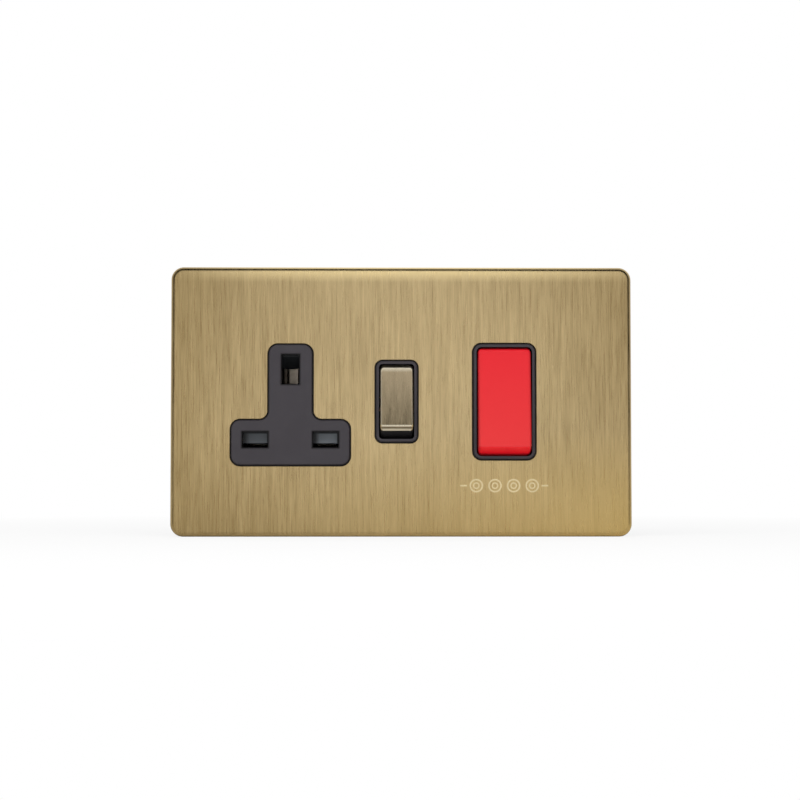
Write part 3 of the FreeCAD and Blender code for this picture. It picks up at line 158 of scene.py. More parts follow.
BLACK = (0, 0, 0)
WHITE = (1, 1, 1)

# What tarnished metal, thin plating and worn ink look like
TARNISH = (0.12, 0.08, 0.06)
THIN_PLATING = (0.3, 0.28, 0.22)
WORN_INK = (0.3, 0.22, 0.1)

# The sky as surfaces mirror it, from in front of the unit (0) to behind it (1)
MIRRORED_SKY = ((0.05, WHITE), (0.09, BLACK), (0.38, BLACK), (0.52, WHITE))


def colour_property(name, description, default):
    return bpy.props.FloatVectorProperty(
        name=name, description=description, default=default, size=3, min=0, max=1,
        subtype="COLOR")


def length_property(name, description, default):
    return bpy.props.FloatProperty(
        name=name, description=description, default=default, min=0, subtype="DISTANCE",
        unit="LENGTH", precision=5)


def factor_property(name, description, default):
    return bpy.props.FloatProperty(
        name=name, description=description, default=default, min=0, max=1, subtype="FACTOR")


def angle_property(name, description, default):
    return bpy.props.FloatProperty(
        name=name, description=description, default=math.radians(default), subtype="ANGLE",
        unit="ROTATION")


# What a user would change


class BrassSettings(bpy.types.PropertyGroup):
    """Antique brass of the plate and of the small rocker"""

    plate_dark: colour_property(
        "Plate dark", "Darkest brush strokes on the plate", (0.272, 0.193, 0.09))
    plate_light: colour_property(
        "Plate light", "Palest brush strokes on the plate", (0.69, 0.53, 0.28))
    # Colour of the plate's painted highlight along its top edge
    top_highlight: colour_property(
        "Worn", "Where handling has polished the edges", (0.84, 0.66, 0.34))
    golden: colour_property(
        "Golden", "Where the lacquer has yellowed", (0.56, 0.385, 0.125))
    # Colour of the small rocker's painted highlight lines
    edge_highlight: colour_property("Pale", "Lines where the small rocker's face turns", (0.86, 0.78, 0.6))
    rocker_dark: colour_property(
        "Rocker dark", "Darkest brush strokes on the small rocker", (0.17, 0.135, 0.08))
    rocker_light: colour_property(
        "Rocker light", "Palest brush strokes on the small rocker", (0.48, 0.38, 0.24))
    roughness: factor_property("Roughness", "Roughness of the brushed brass", 0.31)
    yellowing: factor_property("Yellowing", "How far the lacquer has yellowed", 0.65)
    # Width of the plate's painted highlight along its top edge
    top_highlight_width: length_property("Worn width", "Width of the polished edges", 0.003)
    crease: length_property("Crease", "From the small rocker's foot to its crease", 0.0015)
    # Width of the small rocker's painted highlight lines
    line_width: length_property("Line width", "Width of the small rocker's pale lines", 0.0004)
    stroke_depth: length_property("Stroke depth", "Depth of the brush strokes", 0.000003)


class MouldingSettings(bpy.types.PropertyGroup):
    """Colours of the moulded pieces"""

    black: colour_property("Black", "Frame, socket face and bezels", (0.041, 0.036, 0.042))
    housing: colour_property(
        "Housing", "Rear housing, carrier, shutter cover and studs", (0.032, 0.031, 0.033))
    signs: colour_property(
        "Signs", "Rubbed tops of the signs on the back", (0.15, 0.148, 0.15))
    red: colour_property("Red", "Large rocker", (0.68, 0.009, 0.018))
    # Painted light from below: the large rocker warmer and lighter towards its foot
    red_foot_light: colour_property(
        "Red warm", "The large rocker towards its foot", (0.71, 0.032, 0.032))
    # Painted shade on the large rocker's rounded sides, and how wide it is
    red_side_shade: colour_property(
        "Red dark", "The large rocker's rounded sides", (0.22, 0.004, 0.009))
    red_side: length_property("Red side", "Width of the large rocker's sides", 0.0011)
    # Painted highlight on the large rocker's lower end, and how high it is
    red_end_highlight: colour_property("Red bright", "The large rocker's lower end", (1.0, 0.01, 0.022))
    red_end: length_property("Red end", "Height of the large rocker's lower end", 0.003)
    shaded: colour_property("Shaded", "Body of the small rocker", (0.012, 0.011, 0.012))
    grey: colour_property("Grey", "Shutter", (0.192, 0.212, 0.233))
    nylon: colour_property("Nylon", "Plungers", (0.72, 0.7, 0.64))
    pin_reach: length_property("Pin reach", "From a pin's middle to its hole's side", 0.0042)
    # Width of the painted shadow at the left of each pin's place
    shadow: length_property("Shadow", "Width of the dirt beside each pin's place", 0.0023)
    # Painted shade round the pin holes: its colour, where it is still full and where it ends
    hole_shade: colour_property("Dirt", "What gathers round the pin holes", (0.004, 0.0035, 0.004))
    hole_shade_near: length_property("Dirt near", "From a pin hole, still thick", 0.00015)
    hole_shade_far: length_property("Dirt far", "From a pin hole, where the dirt ends", 0.0007)
    roughness: factor_property("Roughness", "Roughness of the polished mouldings", 0.34)
    sheen: factor_property("Sheen", "How strongly the black and grey mouldings reflect", 0.22)
    red_sheen: factor_property("Red sheen", "How strongly the red rocker reflects", 0.35)
    grain: length_property("Grain", "Depth of the housing's spark texture", 0.00007)


class MetalSettings(bpy.types.PropertyGroup):
    """Colours of the metal pieces inside"""

    bronze: colour_property("Bronze", "Socket contacts", (0.6, 0.53, 0.44))
    copper: colour_property("Copper", "Straps, bars and contact arms", (0.72, 0.36, 0.22))
    terminal: colour_property("Terminal", "Machined brass terminals", (0.7, 0.5, 0.22))
    zinc: colour_property("Zinc", "Plated screws", (0.44, 0.45, 0.46))
    silver: colour_property("Silver", "Contact tips", (0.78, 0.77, 0.74))
    spring: colour_property("Spring", "Spring wire", (0.42, 0.42, 0.43))
    tarnish: factor_property("Tarnish", "How far the metal has darkened in patches", 0.35)


class LegendSettings(bpy.types.PropertyGroup):
    """The hob sign printed below the large rocker"""

    ink: colour_property("Ink", "Colour of the printed sign", (0.72, 0.6, 0.34))
    centre_x: length_property("Across", "Middle of the sign from the plate's", 0.0325)
    below: length_property("Below", "Middle of the sign below the plate's", 0.0266)
    height: length_property("Height", "Height of the sign", 0.0043)
    stroke: length_property("Stroke", "Width of the sign's lines", 0.0005)
    ring_step: length_property("Ring step", "From one hob ring to the next", 0.0059)
    film: length_property("Film", "Thickness of the print", 0.00003)


class SpringSettings(bpy.types.PropertyGroup):
    """The shutter's spring"""

    radius: length_property("Radius", "To the middle of the wire", 0.00125)
    wire: length_property("Wire", "Thickness of the wire", 0.00042)
    turns: bpy.props.IntProperty(name="Turns", description="Turns of the wire", default=6, min=3)


class SignSettings(bpy.types.PropertyGroup):
    """The signs raised on the back of the housing"""

    size: length_property("Size", "Height of a sign", 0.006)
    stroke: length_property("Stroke", "Width of the raised lines", 0.0006)
    film: length_property("Film", "How far the lines stand out", 0.0002)
    well: length_property("Well", "Radius of the wells over the terminal screws", 0.0038)


class StageSettings(bpy.types.PropertyGroup):
    """Floor, light and camera"""

    floor: colour_property("Floor", "Colour of the floor", (0.9, 0.9, 0.9))
    camera_distance: length_property("Camera distance", "From the plate's face", 0.6)
    camera_low: angle_property(
        "Camera low", "How far the camera is below the plate's middle", 2.5)
    camera_left: angle_property("Camera left", "How far the camera is to the left", 0.9)
    sky: factor_property("Sky", "Soft light from all round", 0.55)
    key_power: bpy.props.FloatProperty(
        name="Key power", description="Large soft lamp above the camera", default=3.0, min=0,
        subtype="POWER", unit="POWER")
    fill_power: bpy.props.FloatProperty(
        name="Fill power", description="Soft lamps at the sides", default=1.2, min=0,
        subtype="POWER", unit="POWER")


GROUPS = {
    "unit_brass": BrassSettings, "unit_mouldings": MouldingSettings,
    "unit_metals": MetalSettings, "unit_legend": LegendSettings,
    "unit_spring": SpringSettings, "unit_signs": SignSettings, "unit_stage": StageSettings}


# Shaders


class Value:
    """A node's output that arithmetic turns into Math nodes."""

    def __init__(self, shader, socket):
        self.shader = shader
        self.socket = socket

    def maths(self, operation, first, second):
        return self.shader.node("ShaderNodeMath", {"operation": operation},
                                {0: first, 1: second})

    def __add__(self, other):
        return self.maths("ADD", self, other)

    def __sub__(self, other):
        return self.maths("SUBTRACT", self, other)

    def __rsub__(self, other):
        return self.maths("SUBTRACT", other, self)

    def __mul__(self, other):
        return self.maths("MULTIPLY", self, other)

    def __abs__(self):
        return self.maths("ABSOLUTE", self, None)

    __radd__ = __add__
    __rmul__ = __mul__


class Shader:
    """A node tree that is built from calls."""

    def __init__(self, tree):
        self.tree = tree

    def node(self, kind, settings=None, inputs=None, output=0):
        """Adds a node, sets it up, fills its sockets and returns one of its outputs."""
        made = self.tree.nodes.new(kind)
        for name, value in (settings or {}).items():
            if name == "stops":
                self.set_stops(made.color_ramp.elements, value)
            else:
                setattr(made, name, value)
        for name, value in (inputs or {}).items():
            if isinstance(value, Value):
                self.tree.links.new(value.socket, made.inputs[name])
            elif value is not None:
                made.inputs[name].default_value = value
        return Value(self, made.outputs[output])

    def set_stops(self, elements, stops):
        while len(elements) < len(stops):
            elements.new(1)
        for element, (place, colour) in zip(elements, stops):
            element.position = place
            element.color = (*colour, 1)

    def place(self):
        """Position on the piece, in metres of the unit's own frame."""
        return self.node("ShaderNodeTexCoord", output="Object")

    def along(self, axis):
        """Position along X, Y or Z."""
        return self.node("ShaderNodeSeparateXYZ", None, {0: self.place()}, output=axis)

    def facing(self, axis):
        """How far the surface faces along X, Y or Z."""
        normal = self.node("ShaderNodeTexCoord", output="Normal")
        return self.node("ShaderNodeSeparateXYZ", None, {0: normal}, output=axis)

    def noise(self, waves, detail=2, roughness=0.5, distortion=0):
        """Noise with so many waves per metre, one number or one each for X, Y and Z."""
        scale = waves if isinstance(waves, tuple) else (waves,) * 3
        stretched = self.node("ShaderNodeVectorMath", {"operation": "MULTIPLY"},
                              {0: self.place(), 1: scale})
        return self.node("ShaderNodeTexNoise", None, {
            "Vector": stretched, "Scale": 1, "Detail": detail, "Roughness": roughness,
            "Distortion": distortion})

    def ramp(self, value, *stops):
        return self.node("ShaderNodeValToRGB", {"stops": stops}, {0: value})

    def span(self, value, low, high, start=0, stop=1):
        """Maps low to high onto start to stop, and no further."""
        return self.node("ShaderNodeMapRange", {"clamp": True}, {
            "Value": value, "From Min": low, "From Max": high, "To Min": start,
            "To Max": stop})

    def mix(self, factor, first, second):
        """Blends two colours."""
        return self.node("ShaderNodeMix", {"data_type": "RGBA"},
                         {0: factor, 6: first, 7: second}, output=2)

    def bump(self, height, depth):
        return self.node("ShaderNodeBump", None,
                         {"Height": height, "Distance": depth, "Strength": 1})


class Finish(Shader):
    """A material with one surface shader."""

    def __init__(self, name, uniform=None):
        self.material = bpy.data.materials.new(name)
        self.material.use_nodes = True
        super().__init__(self.material.node_tree)
        self.surface = self.tree.nodes["Principled BSDF"]
        self.give(uniform or {})

    def give(self, inputs):
        for name, value in inputs.items():
            socket = self.surface.inputs[name]
            if isinstance(value, Value):
                self.tree.links.new(value.socket, socket)
            else:
                socket.default_value = value

    def give_skin(self, skin, roughness):
        """The fine skin of a moulding, which also varies its roughness."""
        waves, depth = skin
        pattern = self.noise(waves, 3, 0.6)
        self.give({
            "Roughness": self.span(pattern, 0.3, 0.7, roughness - 0.04, roughness + 0.05),
            "Normal": self.bump(pattern, depth)})

    def cover(self, *nodes):
        """Gives the finish to pieces of the frame."""
        for node in nodes:
            for slot in frame["nodes"][node].material_slots:
                slot.material = self.material


LACQUER = {"Metallic": 1, "Coat Weight": 0.1, "Coat Roughness": 0.2}


def rgba(colour):
    return (*colour, 1)


def between(first, second, share):
    return tuple(a + (b - a) * share for a, b in zip(first, second))


def brush_strokes(finish, brass, dark, light, shade):
    """Gives a finish its brush strokes, faint where it faces up or down. Returns its colour."""
    ends = finish.span(abs(finish.facing("Z")), 0.3, 0.75, 0, 0.85)
    # There the noise is drawn towards its mean
    fine, stroke = [made + (0.5 - made) * ends for made in (
        finish.noise(FINE_STROKES, 3), finish.noise(BROAD_STROKES, 4))]
    cloud = finish.noise(BRASS_CLOUDS, 2)
    finish.give({
        "Roughness": finish.span(fine, 0.3, 0.7, brass.roughness - 0.07,
                                 brass.roughness + 0.07),
        "Normal": finish.bump(fine + stroke, brass.stroke_depth)})
    # The shade given is painted shade and light, added to the strokes' tone
    return finish.ramp(fine * 0.5 + stroke * 0.35 + cloud * 0.15 + shade,
                       (0.27, dark), (0.5, between(dark, light, 0.5)), (0.73, light))


def plate_brass(brass):
    """Lacquered brass yellowed at its foot and sides, with a painted highlight along its top."""
    finish = Finish("antique_brass", LACQUER)
    low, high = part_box("front_plate")
    up = finish.along("Z")
    height = finish.span(up, low[2], high[2])
    right = finish.span(finish.along("X"), low[0], high[0])
    # Nearness to the left and right edges, and to the foot
    side = (right - 0.5) * (right - 0.5) * (4.6 - right * 1.2)
    foot = finish.span(height, 0.4, 0)
    # Painted shade: darker at the sides and at the left of the foot
    shade = foot * (right * right * 0.2 - 0.155) - side * (height * 0.15 + 0.09) + 0.055
    strokes = brush_strokes(finish, brass, brass.plate_dark, brass.plate_light, shade)
    # Yellower at the right of the foot, and a little at the sides
    yellow = (foot * (right * 0.95 + 0.08) + side * 0.2) * brass.yellowing
    aged = finish.mix(yellow, strokes, rgba(brass.golden))
    # Painted highlight along the top edge, weaker towards the sides
    width = brass.top_highlight_width
    polished = finish.span(up, high[2] - width * 1.6, high[2] - width * 0.6) * (1 - side * 0.85)
    finish.give({"Base Color": finish.mix(polished, aged, rgba(brass.top_highlight))})
    return finish


def cap_brass(brass):
    """The same brass on the small rocker, with painted highlights where its face turns."""
    finish = Finish("rocker_brass", LACQUER)
    low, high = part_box("socket_rocker_cap")
    up, across = finish.along("Z"), finish.along("X")
    # Painted shade: darker towards the foot, lighter towards the top
    shade = finish.span(up, low[2], high[2], -0.22, 0.26)
    strokes = brush_strokes(finish, brass, brass.rocker_dark, brass.rocker_light, shade)
    line = brass.line_width
    # Painted highlights along the crease, the foot, the broad top edge, and the left and right
    # edges
    lines = (finish.span(abs(up - (low[2] + brass.crease)), line, line * 0.3) * 0.9
             + finish.span(up, low[2] + line * 2, low[2] + line) * 0.85
             + finish.span(up, high[2] - line * 6.5, high[2] - line * 3)
             + finish.span(across, low[0] + line * 1.6, low[0] + line * 0.6) * 0.5
             + finish.span(across, high[0] - line * 1.4, high[0] - line * 0.6) * 0.4)
    edge_highlight = finish.span(lines, 0, 1, 0, 0.95)
    finish.give({"Base Color": finish.mix(edge_highlight, strokes, rgba(brass.edge_highlight))})
    return finish


def moulding(name, colour, roughness, skin, sheen=0.5):
    """Moulded plastic: colour with a trace of mottling, and a fine skin."""
    finish = Finish(name, {"Specular IOR Level": sheen})
    cloud = finish.noise(MOTTLING, 3)
    finish.give({
        "Base Color": finish.mix(cloud, rgba(between(colour, BLACK, 0.12)),
                                 rgba(between(colour, WHITE, 0.012)))})
    finish.give_skin(skin, roughness)
    return finish


def pin_places():
    """Where the plug's pins go: neutral and live across, then both and the earth pin up."""
    places = []
    for node in ("neutral_contact", "live_contact"):
        low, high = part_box(node)
        places.append(((low[0] + high[0]) / 2, (low[2] + high[2]) / 2))
    (neutral_x, line_z), (live_x, line_z) = places
    # The earth pin is as far above the others as they are apart
    return neutral_x, live_x, line_z, line_z + live_x - neutral_x


def socket_moulding(colours):
    """The black moulding, with painted shade in and round the pin holes."""
    finish = moulding("socket_moulding", colours.black, colours.roughness, POLISHED_SKIN,
                      colours.sheen)
    unshaded = Value(finish, finish.surface.inputs["Base Color"].links[0].from_socket)
    neutral_x, live_x, line_z, earth_z = pin_places()
    middle, half = (neutral_x + live_x) / 2, (live_x - neutral_x) / 2
    across = abs(finish.along("X") - middle)
    up = finish.along("Z")
    # Painted shade in each pin hole's bevel and walls, fading away from the hole
    hole_shade = 0
    for away, high, (width, height) in (
            (abs(across - half), abs(up - line_z), LINE_HOLE),
            (across, abs(up - earth_z), EARTH_HOLE)):
        hole_shade = hole_shade + (finish.span(away, width / 2 + colours.hole_shade_far,
                                   width / 2 + colours.hole_shade_near)
                       * finish.span(high, height / 2 + colours.hole_shade_far,
                                     height / 2 + colours.hole_shade_near))
    finish.give({"Base Color": finish.mix(hole_shade, unshaded, rgba(colours.hole_shade))})
    return finish


def red_moulding(colours):
    """The large rocker, with painted warm light below, a painted highlight on its lower end and
    painted shade at its sides.
    """
    finish = Finish("red_moulding", {"Specular IOR Level": colours.red_sheen})
    low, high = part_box("cooker_rocker")
    cloud = finish.noise(MOTTLING, 3)
    up = finish.along("Z")
    # Painted highlight on the lower end, and painted warm light towards the foot
    ends = finish.span(up, low[2] + colours.red_end * 1.1, low[2] + colours.red_end)
    foot_light = finish.span(up, low[2], high[2], 0.8, 0) * (cloud * 0.3 + 0.85)
    face = finish.mix(foot_light, rgba(colours.red), rgba(colours.red_foot_light))
    # Painted shade on the rounded sides
    half = (high[0] - low[0]) / 2 - PIVOT_PIN
    side = finish.span(abs(finish.along("X") - (low[0] + high[0]) / 2),
                       half - colours.red_side, half)
    lit = finish.mix(ends, face, rgba(colours.red_end_highlight))
    finish.give({"Base Color": finish.mix(side * side * 0.85, lit, rgba(colours.red_side_shade))})
    finish.give_skin(RED_SKIN, colours.roughness)
    return finish


def shutter_moulding(colours):
    """The shutter's moulding, darker to the left, with painted shadow and shade round each pin's
    place.
    """
    finish = Finish("grey_moulding", {"Specular IOR Level": colours.sheen})
    low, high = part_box("shutter")
    neutral_x, live_x, line_z = pin_places()[:3]
    across = finish.along("X")
    cloud = finish.noise(SHUTTER_MOTTLING, 3)
    middle, half = (neutral_x + live_x) / 2, (live_x - neutral_x) / 2
    shade = finish.span(across, low[0], high[0], 0.43, 1) * (cloud * 0.3 + 0.85)
    # Painted shadow at the left of each pin's place, then painted shade along all its edges
    for pin_x in (neutral_x, live_x):
        hidden = abs(across - (pin_x - colours.pin_reach))
        shade = shade * finish.span(hidden, colours.shadow * 0.4, colours.shadow)
    edge = colours.hole_shade_near * 2
    for away, reach in ((abs(abs(across - middle) - half), LINE_HOLE[0] / 2),
                        (abs(finish.along("Z") - line_z), LINE_HOLE[1] / 2)):
        shade = shade * finish.span(away, reach - edge, reach - edge * 2)
    # Painted shade takes the grey towards black
    finish.give({"Base Color": finish.mix(shade, rgba(between(colours.grey, BLACK, 0.9)),
                                          rgba(colours.grey))})
    finish.give_skin(SHUTTER_SKIN, colours.roughness)
    return finish


def rolled_metal(name, colour, roughness, tarnish, waves):
    """Rolled strip or turned bar: fine lines along it and patches of tarnish."""
    finish = Finish(name, {"Metallic": 1})
    lines = finish.noise(waves, 3, 0.6)
    patch = finish.noise(TARNISH_PATCHES, 4, 0.65, 0.4)
    stain = finish.span(patch, 0.42, 0.7) * tarnish
    dull = between(colour, TARNISH, 0.7)
    finish.give({
        "Base Color": finish.mix(stain, rgba(colour), rgba(dull)),
        "Roughness": finish.span(lines, 0.3, 0.7, roughness - 0.06, roughness + 0.08)
        + stain * 0.25,
        "Normal": finish.bump(lines, 0.000006)})
    return finish


def plated_steel(name, colour, roughness):
    """Plated or drawn steel with a faint crystalline mottling."""
    finish = Finish(name, {"Metallic": 1})
    spangle = finish.node("ShaderNodeTexVoronoi", None,
                          {"Vector": finish.place(), "Scale": SPANGLE}, output="Color")
    level = finish.node("ShaderNodeRGBToBW", None, {0: spangle})
    cloud = finish.noise(PLATING_PATCHES, 3)
    finish.give({
        "Base Color": finish.mix(finish.span(cloud, 0.35, 0.65),
                                 rgba(between(colour, THIN_PLATING, 0.4)), rgba(colour)),
        "Roughness": finish.span(level, 0, 1, roughness - 0.08, roughness + 0.12),
        "Normal": finish.bump(cloud, 0.000004)})
    return finish


# Pieces that are added


def add_piece(name, mesh, body, finish):
    """Puts a mesh into the scene as a piece that moves with a body."""
    mesh.materials.append(finish.material)
    piece = bpy.data.objects.new(name, mesh)
    bpy.context.scene.collection.objects.link(piece)
    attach(piece, body)
    return piece


def ring_outline(centre, radius, sides):
    turn = 2 * math.pi / sides
    return [(centre[0] + radius * math.cos(turn * side),
             centre[1] + radius * math.sin(turn * side)) for side in range(sides)]


def print_band(mesh, inner, outer, face_y, film):
    """A closed printed line between two outlines, a film thick."""
    rows = [[mesh.verts.new((x, y, z)) for x, z in outline]
            for outline, y in ((inner, face_y), (inner, face_y - film),
                               (outer, face_y - film), (outer, face_y))]
    count = len(inner)
    for first, second in zip(rows, rows[1:] + rows[:1]):
        for step in range(count):
            after = (step + 1) % count
            mesh.faces.new((first[step], first[after], second[after], second[step]))


def print_shape(mesh, outline, face_y, film):
    """A printed or raised shape with straight sides, a film thick."""
    back, front = [[mesh.verts.new((x, y, z)) for x, z in outline]
                   for y in (face_y, face_y - film)]
    mesh.faces.new(front)
    mesh.faces.new(back[::-1])
    for step in range(len(outline)):
        after = (step + 1) % len(outline)
        mesh.faces.new((back[step], back[after], front[after], front[step]))


def bar(centre_x, centre_z, width, height):
    """Corners of an upright oblong."""
    left, right = centre_x - width / 2, centre_x + width / 2
    low, high = centre_z - height / 2, centre_z + height / 2
    return [(left, low), (right, low), (right, high), (left, high)]


def finished(mesh, name):
    """Closes a bmesh into a mesh whose faces look outwards."""
    bmesh.ops.recalc_face_normals(mesh, faces=mesh.faces)
    data = bpy.data.meshes.new(name)
    mesh.to_mesh(data)
    mesh.free()
    return data


# Operators, one for each piece or group of like pieces


class UNIT_OT_plate(bpy.types.Operator):
    """Brush and lacquer the front plate, and colour its studs"""

    bl_idname = "unit.plate"
    bl_label = "Front Plate"

    def execute(self, context):
        plate_brass(context.scene.unit_brass).cover("front_plate")
        moulding("black_nylon", context.scene.unit_mouldings.housing, 0.45,
                 NYLON_SKIN).cover("plate_clips")
        return {"FINISHED"}


class UNIT_OT_legend(bpy.types.Operator):
    """Print a hob sign below the large rocker"""

    bl_idname = "unit.legend"
    bl_label = "Hob Sign"

    def execute(self, context):
        legend = context.scene.unit_legend
        face_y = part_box("front_plate")[0][1]
        mesh = bmesh.new()
        radius = legend.height / 2
        middle = -legend.below
        small_ring = [radius * share for share in SMALL_RING]
        for place in RING_PLACES:
            centre = (legend.centre_x + place * legend.ring_step, middle)
            for (inner, outer), sides in (((radius - legend.stroke, radius), RING_SIDES),
                                          (small_ring, SMALL_RING_SIDES)):
                print_band(mesh, ring_outline(centre, inner, sides),
                           ring_outline(centre, outer, sides), face_y, legend.film)
        away = legend.ring_step * 2 + legend.height / 4
        for side in (-1, 1):
            print_shape(mesh, bar(legend.centre_x + side * away, middle, legend.height / 2,
                                  legend.stroke), face_y, legend.film)
        ink = Finish("sign_ink")
        wear = ink.noise(INK_STROKES, 4)
        ink.give({
            "Base Color": ink.mix(wear, rgba(between(legend.ink, WORN_INK, 0.4)),
                                  rgba(legend.ink)),
            "Roughness": ink.span(wear, 0.3, 0.7, 0.4, 0.55)})
        add_piece("hob_sign", finished(mesh, "hob_sign"), "front_plate", ink)
        return {"FINISHED"}


class UNIT_OT_mouldings(bpy.types.Operator):
    """Colour the frame, the socket's face and the shutter"""

    bl_idname = "unit.mouldings"
    bl_label = "Frame and Shutter"

    def execute(self, context):
        colours = context.scene.unit_mouldings
        moulding("black_moulding", colours.black, colours.roughness, POLISHED_SKIN,
                 colours.sheen).cover("mounting_frame")
        socket_moulding(colours).cover("socket_face")
        shutter_moulding(colours).cover("shutter")
        return {"FINISHED"}


class UNIT_OT_rockers(bpy.types.Operator):
    """Colour the rockers and the plungers in them"""

    bl_idname = "unit.rockers"
    bl_label = "Rockers"

    def execute(self, context):
        colours = context.scene.unit_mouldings
        cap_brass(context.scene.unit_brass).cover("socket_rocker_cap")
        moulding("shaded_moulding", colours.shaded, colours.roughness, POLISHED_SKIN,
                 colours.sheen * 0.5).cover("socket_rocker")
        red_moulding(colours).cover("cooker_rocker")
        moulding("white_nylon", colours.nylon, 0.5, NYLON_SKIN).cover(
            "socket_plunger", "live_plunger", "neutral_plunger")
        return {"FINISHED"}


class UNIT_OT_contacts(bpy.types.Operator):
    """Give the contacts, arms, straps and bars their metals"""

    bl_idname = "unit.contacts"
    bl_label = "Contacts and Straps"

    def execute(self, context):
        metals = context.scene.unit_metals
        rolled_metal("contact_bronze", metals.bronze, 0.5, metals.tarnish,
                     CONTACT_LINES).cover("earth_contact", "live_contact", "neutral_contact")
        rolled_metal("strap_copper", metals.copper, 0.32, metals.tarnish, STRAP_LINES).cover(
            "live_link", "live_bar", "neutral_bar", "socket_fixed_contact",
            "live_supply_contact", "neutral_supply_contact", "live_load_strap",
            "neutral_load_strap", "socket_contact_arm", "cooker_live_arm",
            "cooker_neutral_arm")
        plated_steel("silver_contact", metals.silver, 0.3).cover(
            "socket_contact_arm_tip", "cooker_live_arm_tip", "cooker_neutral_arm_tip",
            "fixed_contact_tips")
        return {"FINISHED"}


class UNIT_OT_springs(bpy.types.Operator):
    """Wind the shutter's spring and colour the others"""

    bl_idname = "unit.springs"
    bl_label = "Springs"

    def execute(self, context):
        spring = context.scene.unit_spring
        steel = plated_steel("spring_steel", context.scene.unit_metals.spring, 0.28)
        steel.cover("socket_plunger_spring", "live_plunger_spring", "neutral_plunger_spring")
        low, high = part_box("shutter_spring")
        piece = add_piece("shutter_coil", self.wind(spring, low, high), "frame", steel)
        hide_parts("shutter_spring")
        lift = next(joint["range_m"][1] for joint in frame["record"]["behaviour"]["joints"]
                    if joint["name"] == "shutter_lift")
        1 - lift / (high[2] - low[2])
        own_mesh(piece)
        return {"FINISHED"}

    def wind(self, spring, low, high):
        """A round wire wound with one closed turn at each end."""
        thick = spring.wire / 2
        shut = spring.wire * CLOSED_RISE
        rise = high[2] - low[2] - spring.wire
        pitch = (rise - shut * 2) / (spring.turns - 2)
        middle_x, middle_y = (low[0] + high[0]) / 2, (low[1] + high[1]) / 2
        mesh = bmesh.new()
        rings = []
        for step in range(spring.turns * COIL_STEPS + 1):
            turn = step / COIL_STEPS
            after_first = min(max(turn - 1, 0), spring.turns - 2)
            level = low[2] + thick + min(turn, 1) * shut + after_first * pitch
            level += max(turn - spring.turns + 1, 0) * shut
            angle = turn * 2 * math.pi
            ring = []
            for side in range(WIRE_SIDES):
                lean = side * 2 * math.pi / WIRE_SIDES
                out = spring.radius + thick * math.cos(lean)
                ring.append(mesh.verts.new((
                    middle_x + out * math.cos(angle), middle_y + out * math.sin(angle),
                    level + thick * math.sin(lean))))
            rings.append(ring)
        for lower, upper in zip(rings, rings[1:]):
            for side in range(WIRE_SIDES):
                after = (side + 1) % WIRE_SIDES
                mesh.faces.new((lower[side], lower[after], upper[after], upper[side]))
        mesh.faces.new(rings[0][::-1])
        mesh.faces.new(rings[-1])
        data = finished(mesh, "shutter_coil")
        data.shade_smooth()
        return data


class UNIT_OT_terminals(bpy.types.Operator):
    """Give the terminals and their screws their metals"""

    bl_idname = "unit.terminals"
    bl_label = "Terminals"

    def execute(self, context):
        metals = context.scene.unit_metals
        rolled_metal("terminal_brass", metals.terminal, 0.3, metals.tarnish,
                     TERMINAL_LINES).cover(
            "live_supply_terminal", "neutral_supply_terminal", "live_load_terminal",
            "neutral_load_terminal", "earth_terminal")
        plated_steel("zinc_steel", metals.zinc, 0.3).cover("terminal_screws")
        return {"FINISHED"}


class UNIT_OT_housing(bpy.types.Operator):
    """Texture the rear housing, raise the signs on it and plate its screws"""

    bl_idname = "unit.housing"
    bl_label = "Rear Housing"

    def execute(self, context):
        colours = context.scene.unit_mouldings
        moulding("black_housing", colours.housing, 0.5, (HOUSING_GRAIN, colours.grain),
                 colours.sheen).cover("rear_housing", "contact_carrier", "shutter_cover")
        polished = moulding("polished_signs", colours.signs, 0.28, POLISHED_SKIN)
        add_piece("terminal_signs", self.raise_signs(context.scene.unit_signs), "frame",
                  polished)
        plated_steel("housing_zinc", context.scene.unit_metals.zinc, 0.32).cover(
            "housing_screws")
        return {"FINISHED"}

    def raise_signs(self, signs):
        """Rims round the wells, and the earth, supply and load signs beside them."""
        back_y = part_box("rear_housing")[1][1]
        mesh = bmesh.new()
        for place in WELLS:
            print_band(mesh, ring_outline(place, signs.well, RIM_SIDES),
                       ring_outline(place, signs.well + signs.stroke, RIM_SIDES), back_y,
                       -signs.film)
        size = signs.size
        earth_x, earth_z = EARTH_SIGN
        print_shape(mesh, bar(earth_x, earth_z + (size + signs.stroke) / 4, signs.stroke,
                              (size - signs.stroke) / 2), back_y, -signs.film)
        for row, width in enumerate(EARTH_BARS):
            print_shape(mesh, bar(earth_x, earth_z - row * size * EARTH_BAR_STEP,
                                  size * width, signs.stroke), back_y, -signs.film)
        stem_middle, stem_height = [size * share for share in ARROW_STEM]
        half, top, tip = [size * share for share in ARROW_HEAD]
        for x, z in (SUPPLY_SIGN, LOAD_SIGN):
            print_shape(mesh, bar(x, z + stem_middle, signs.stroke, stem_height), back_y,
                        -signs.film)
            print_shape(mesh, [(x - half, z + top), (x, z + tip), (x + half, z + top)],
                        back_y, -signs.film)
        return finished(mesh, "terminal_signs")


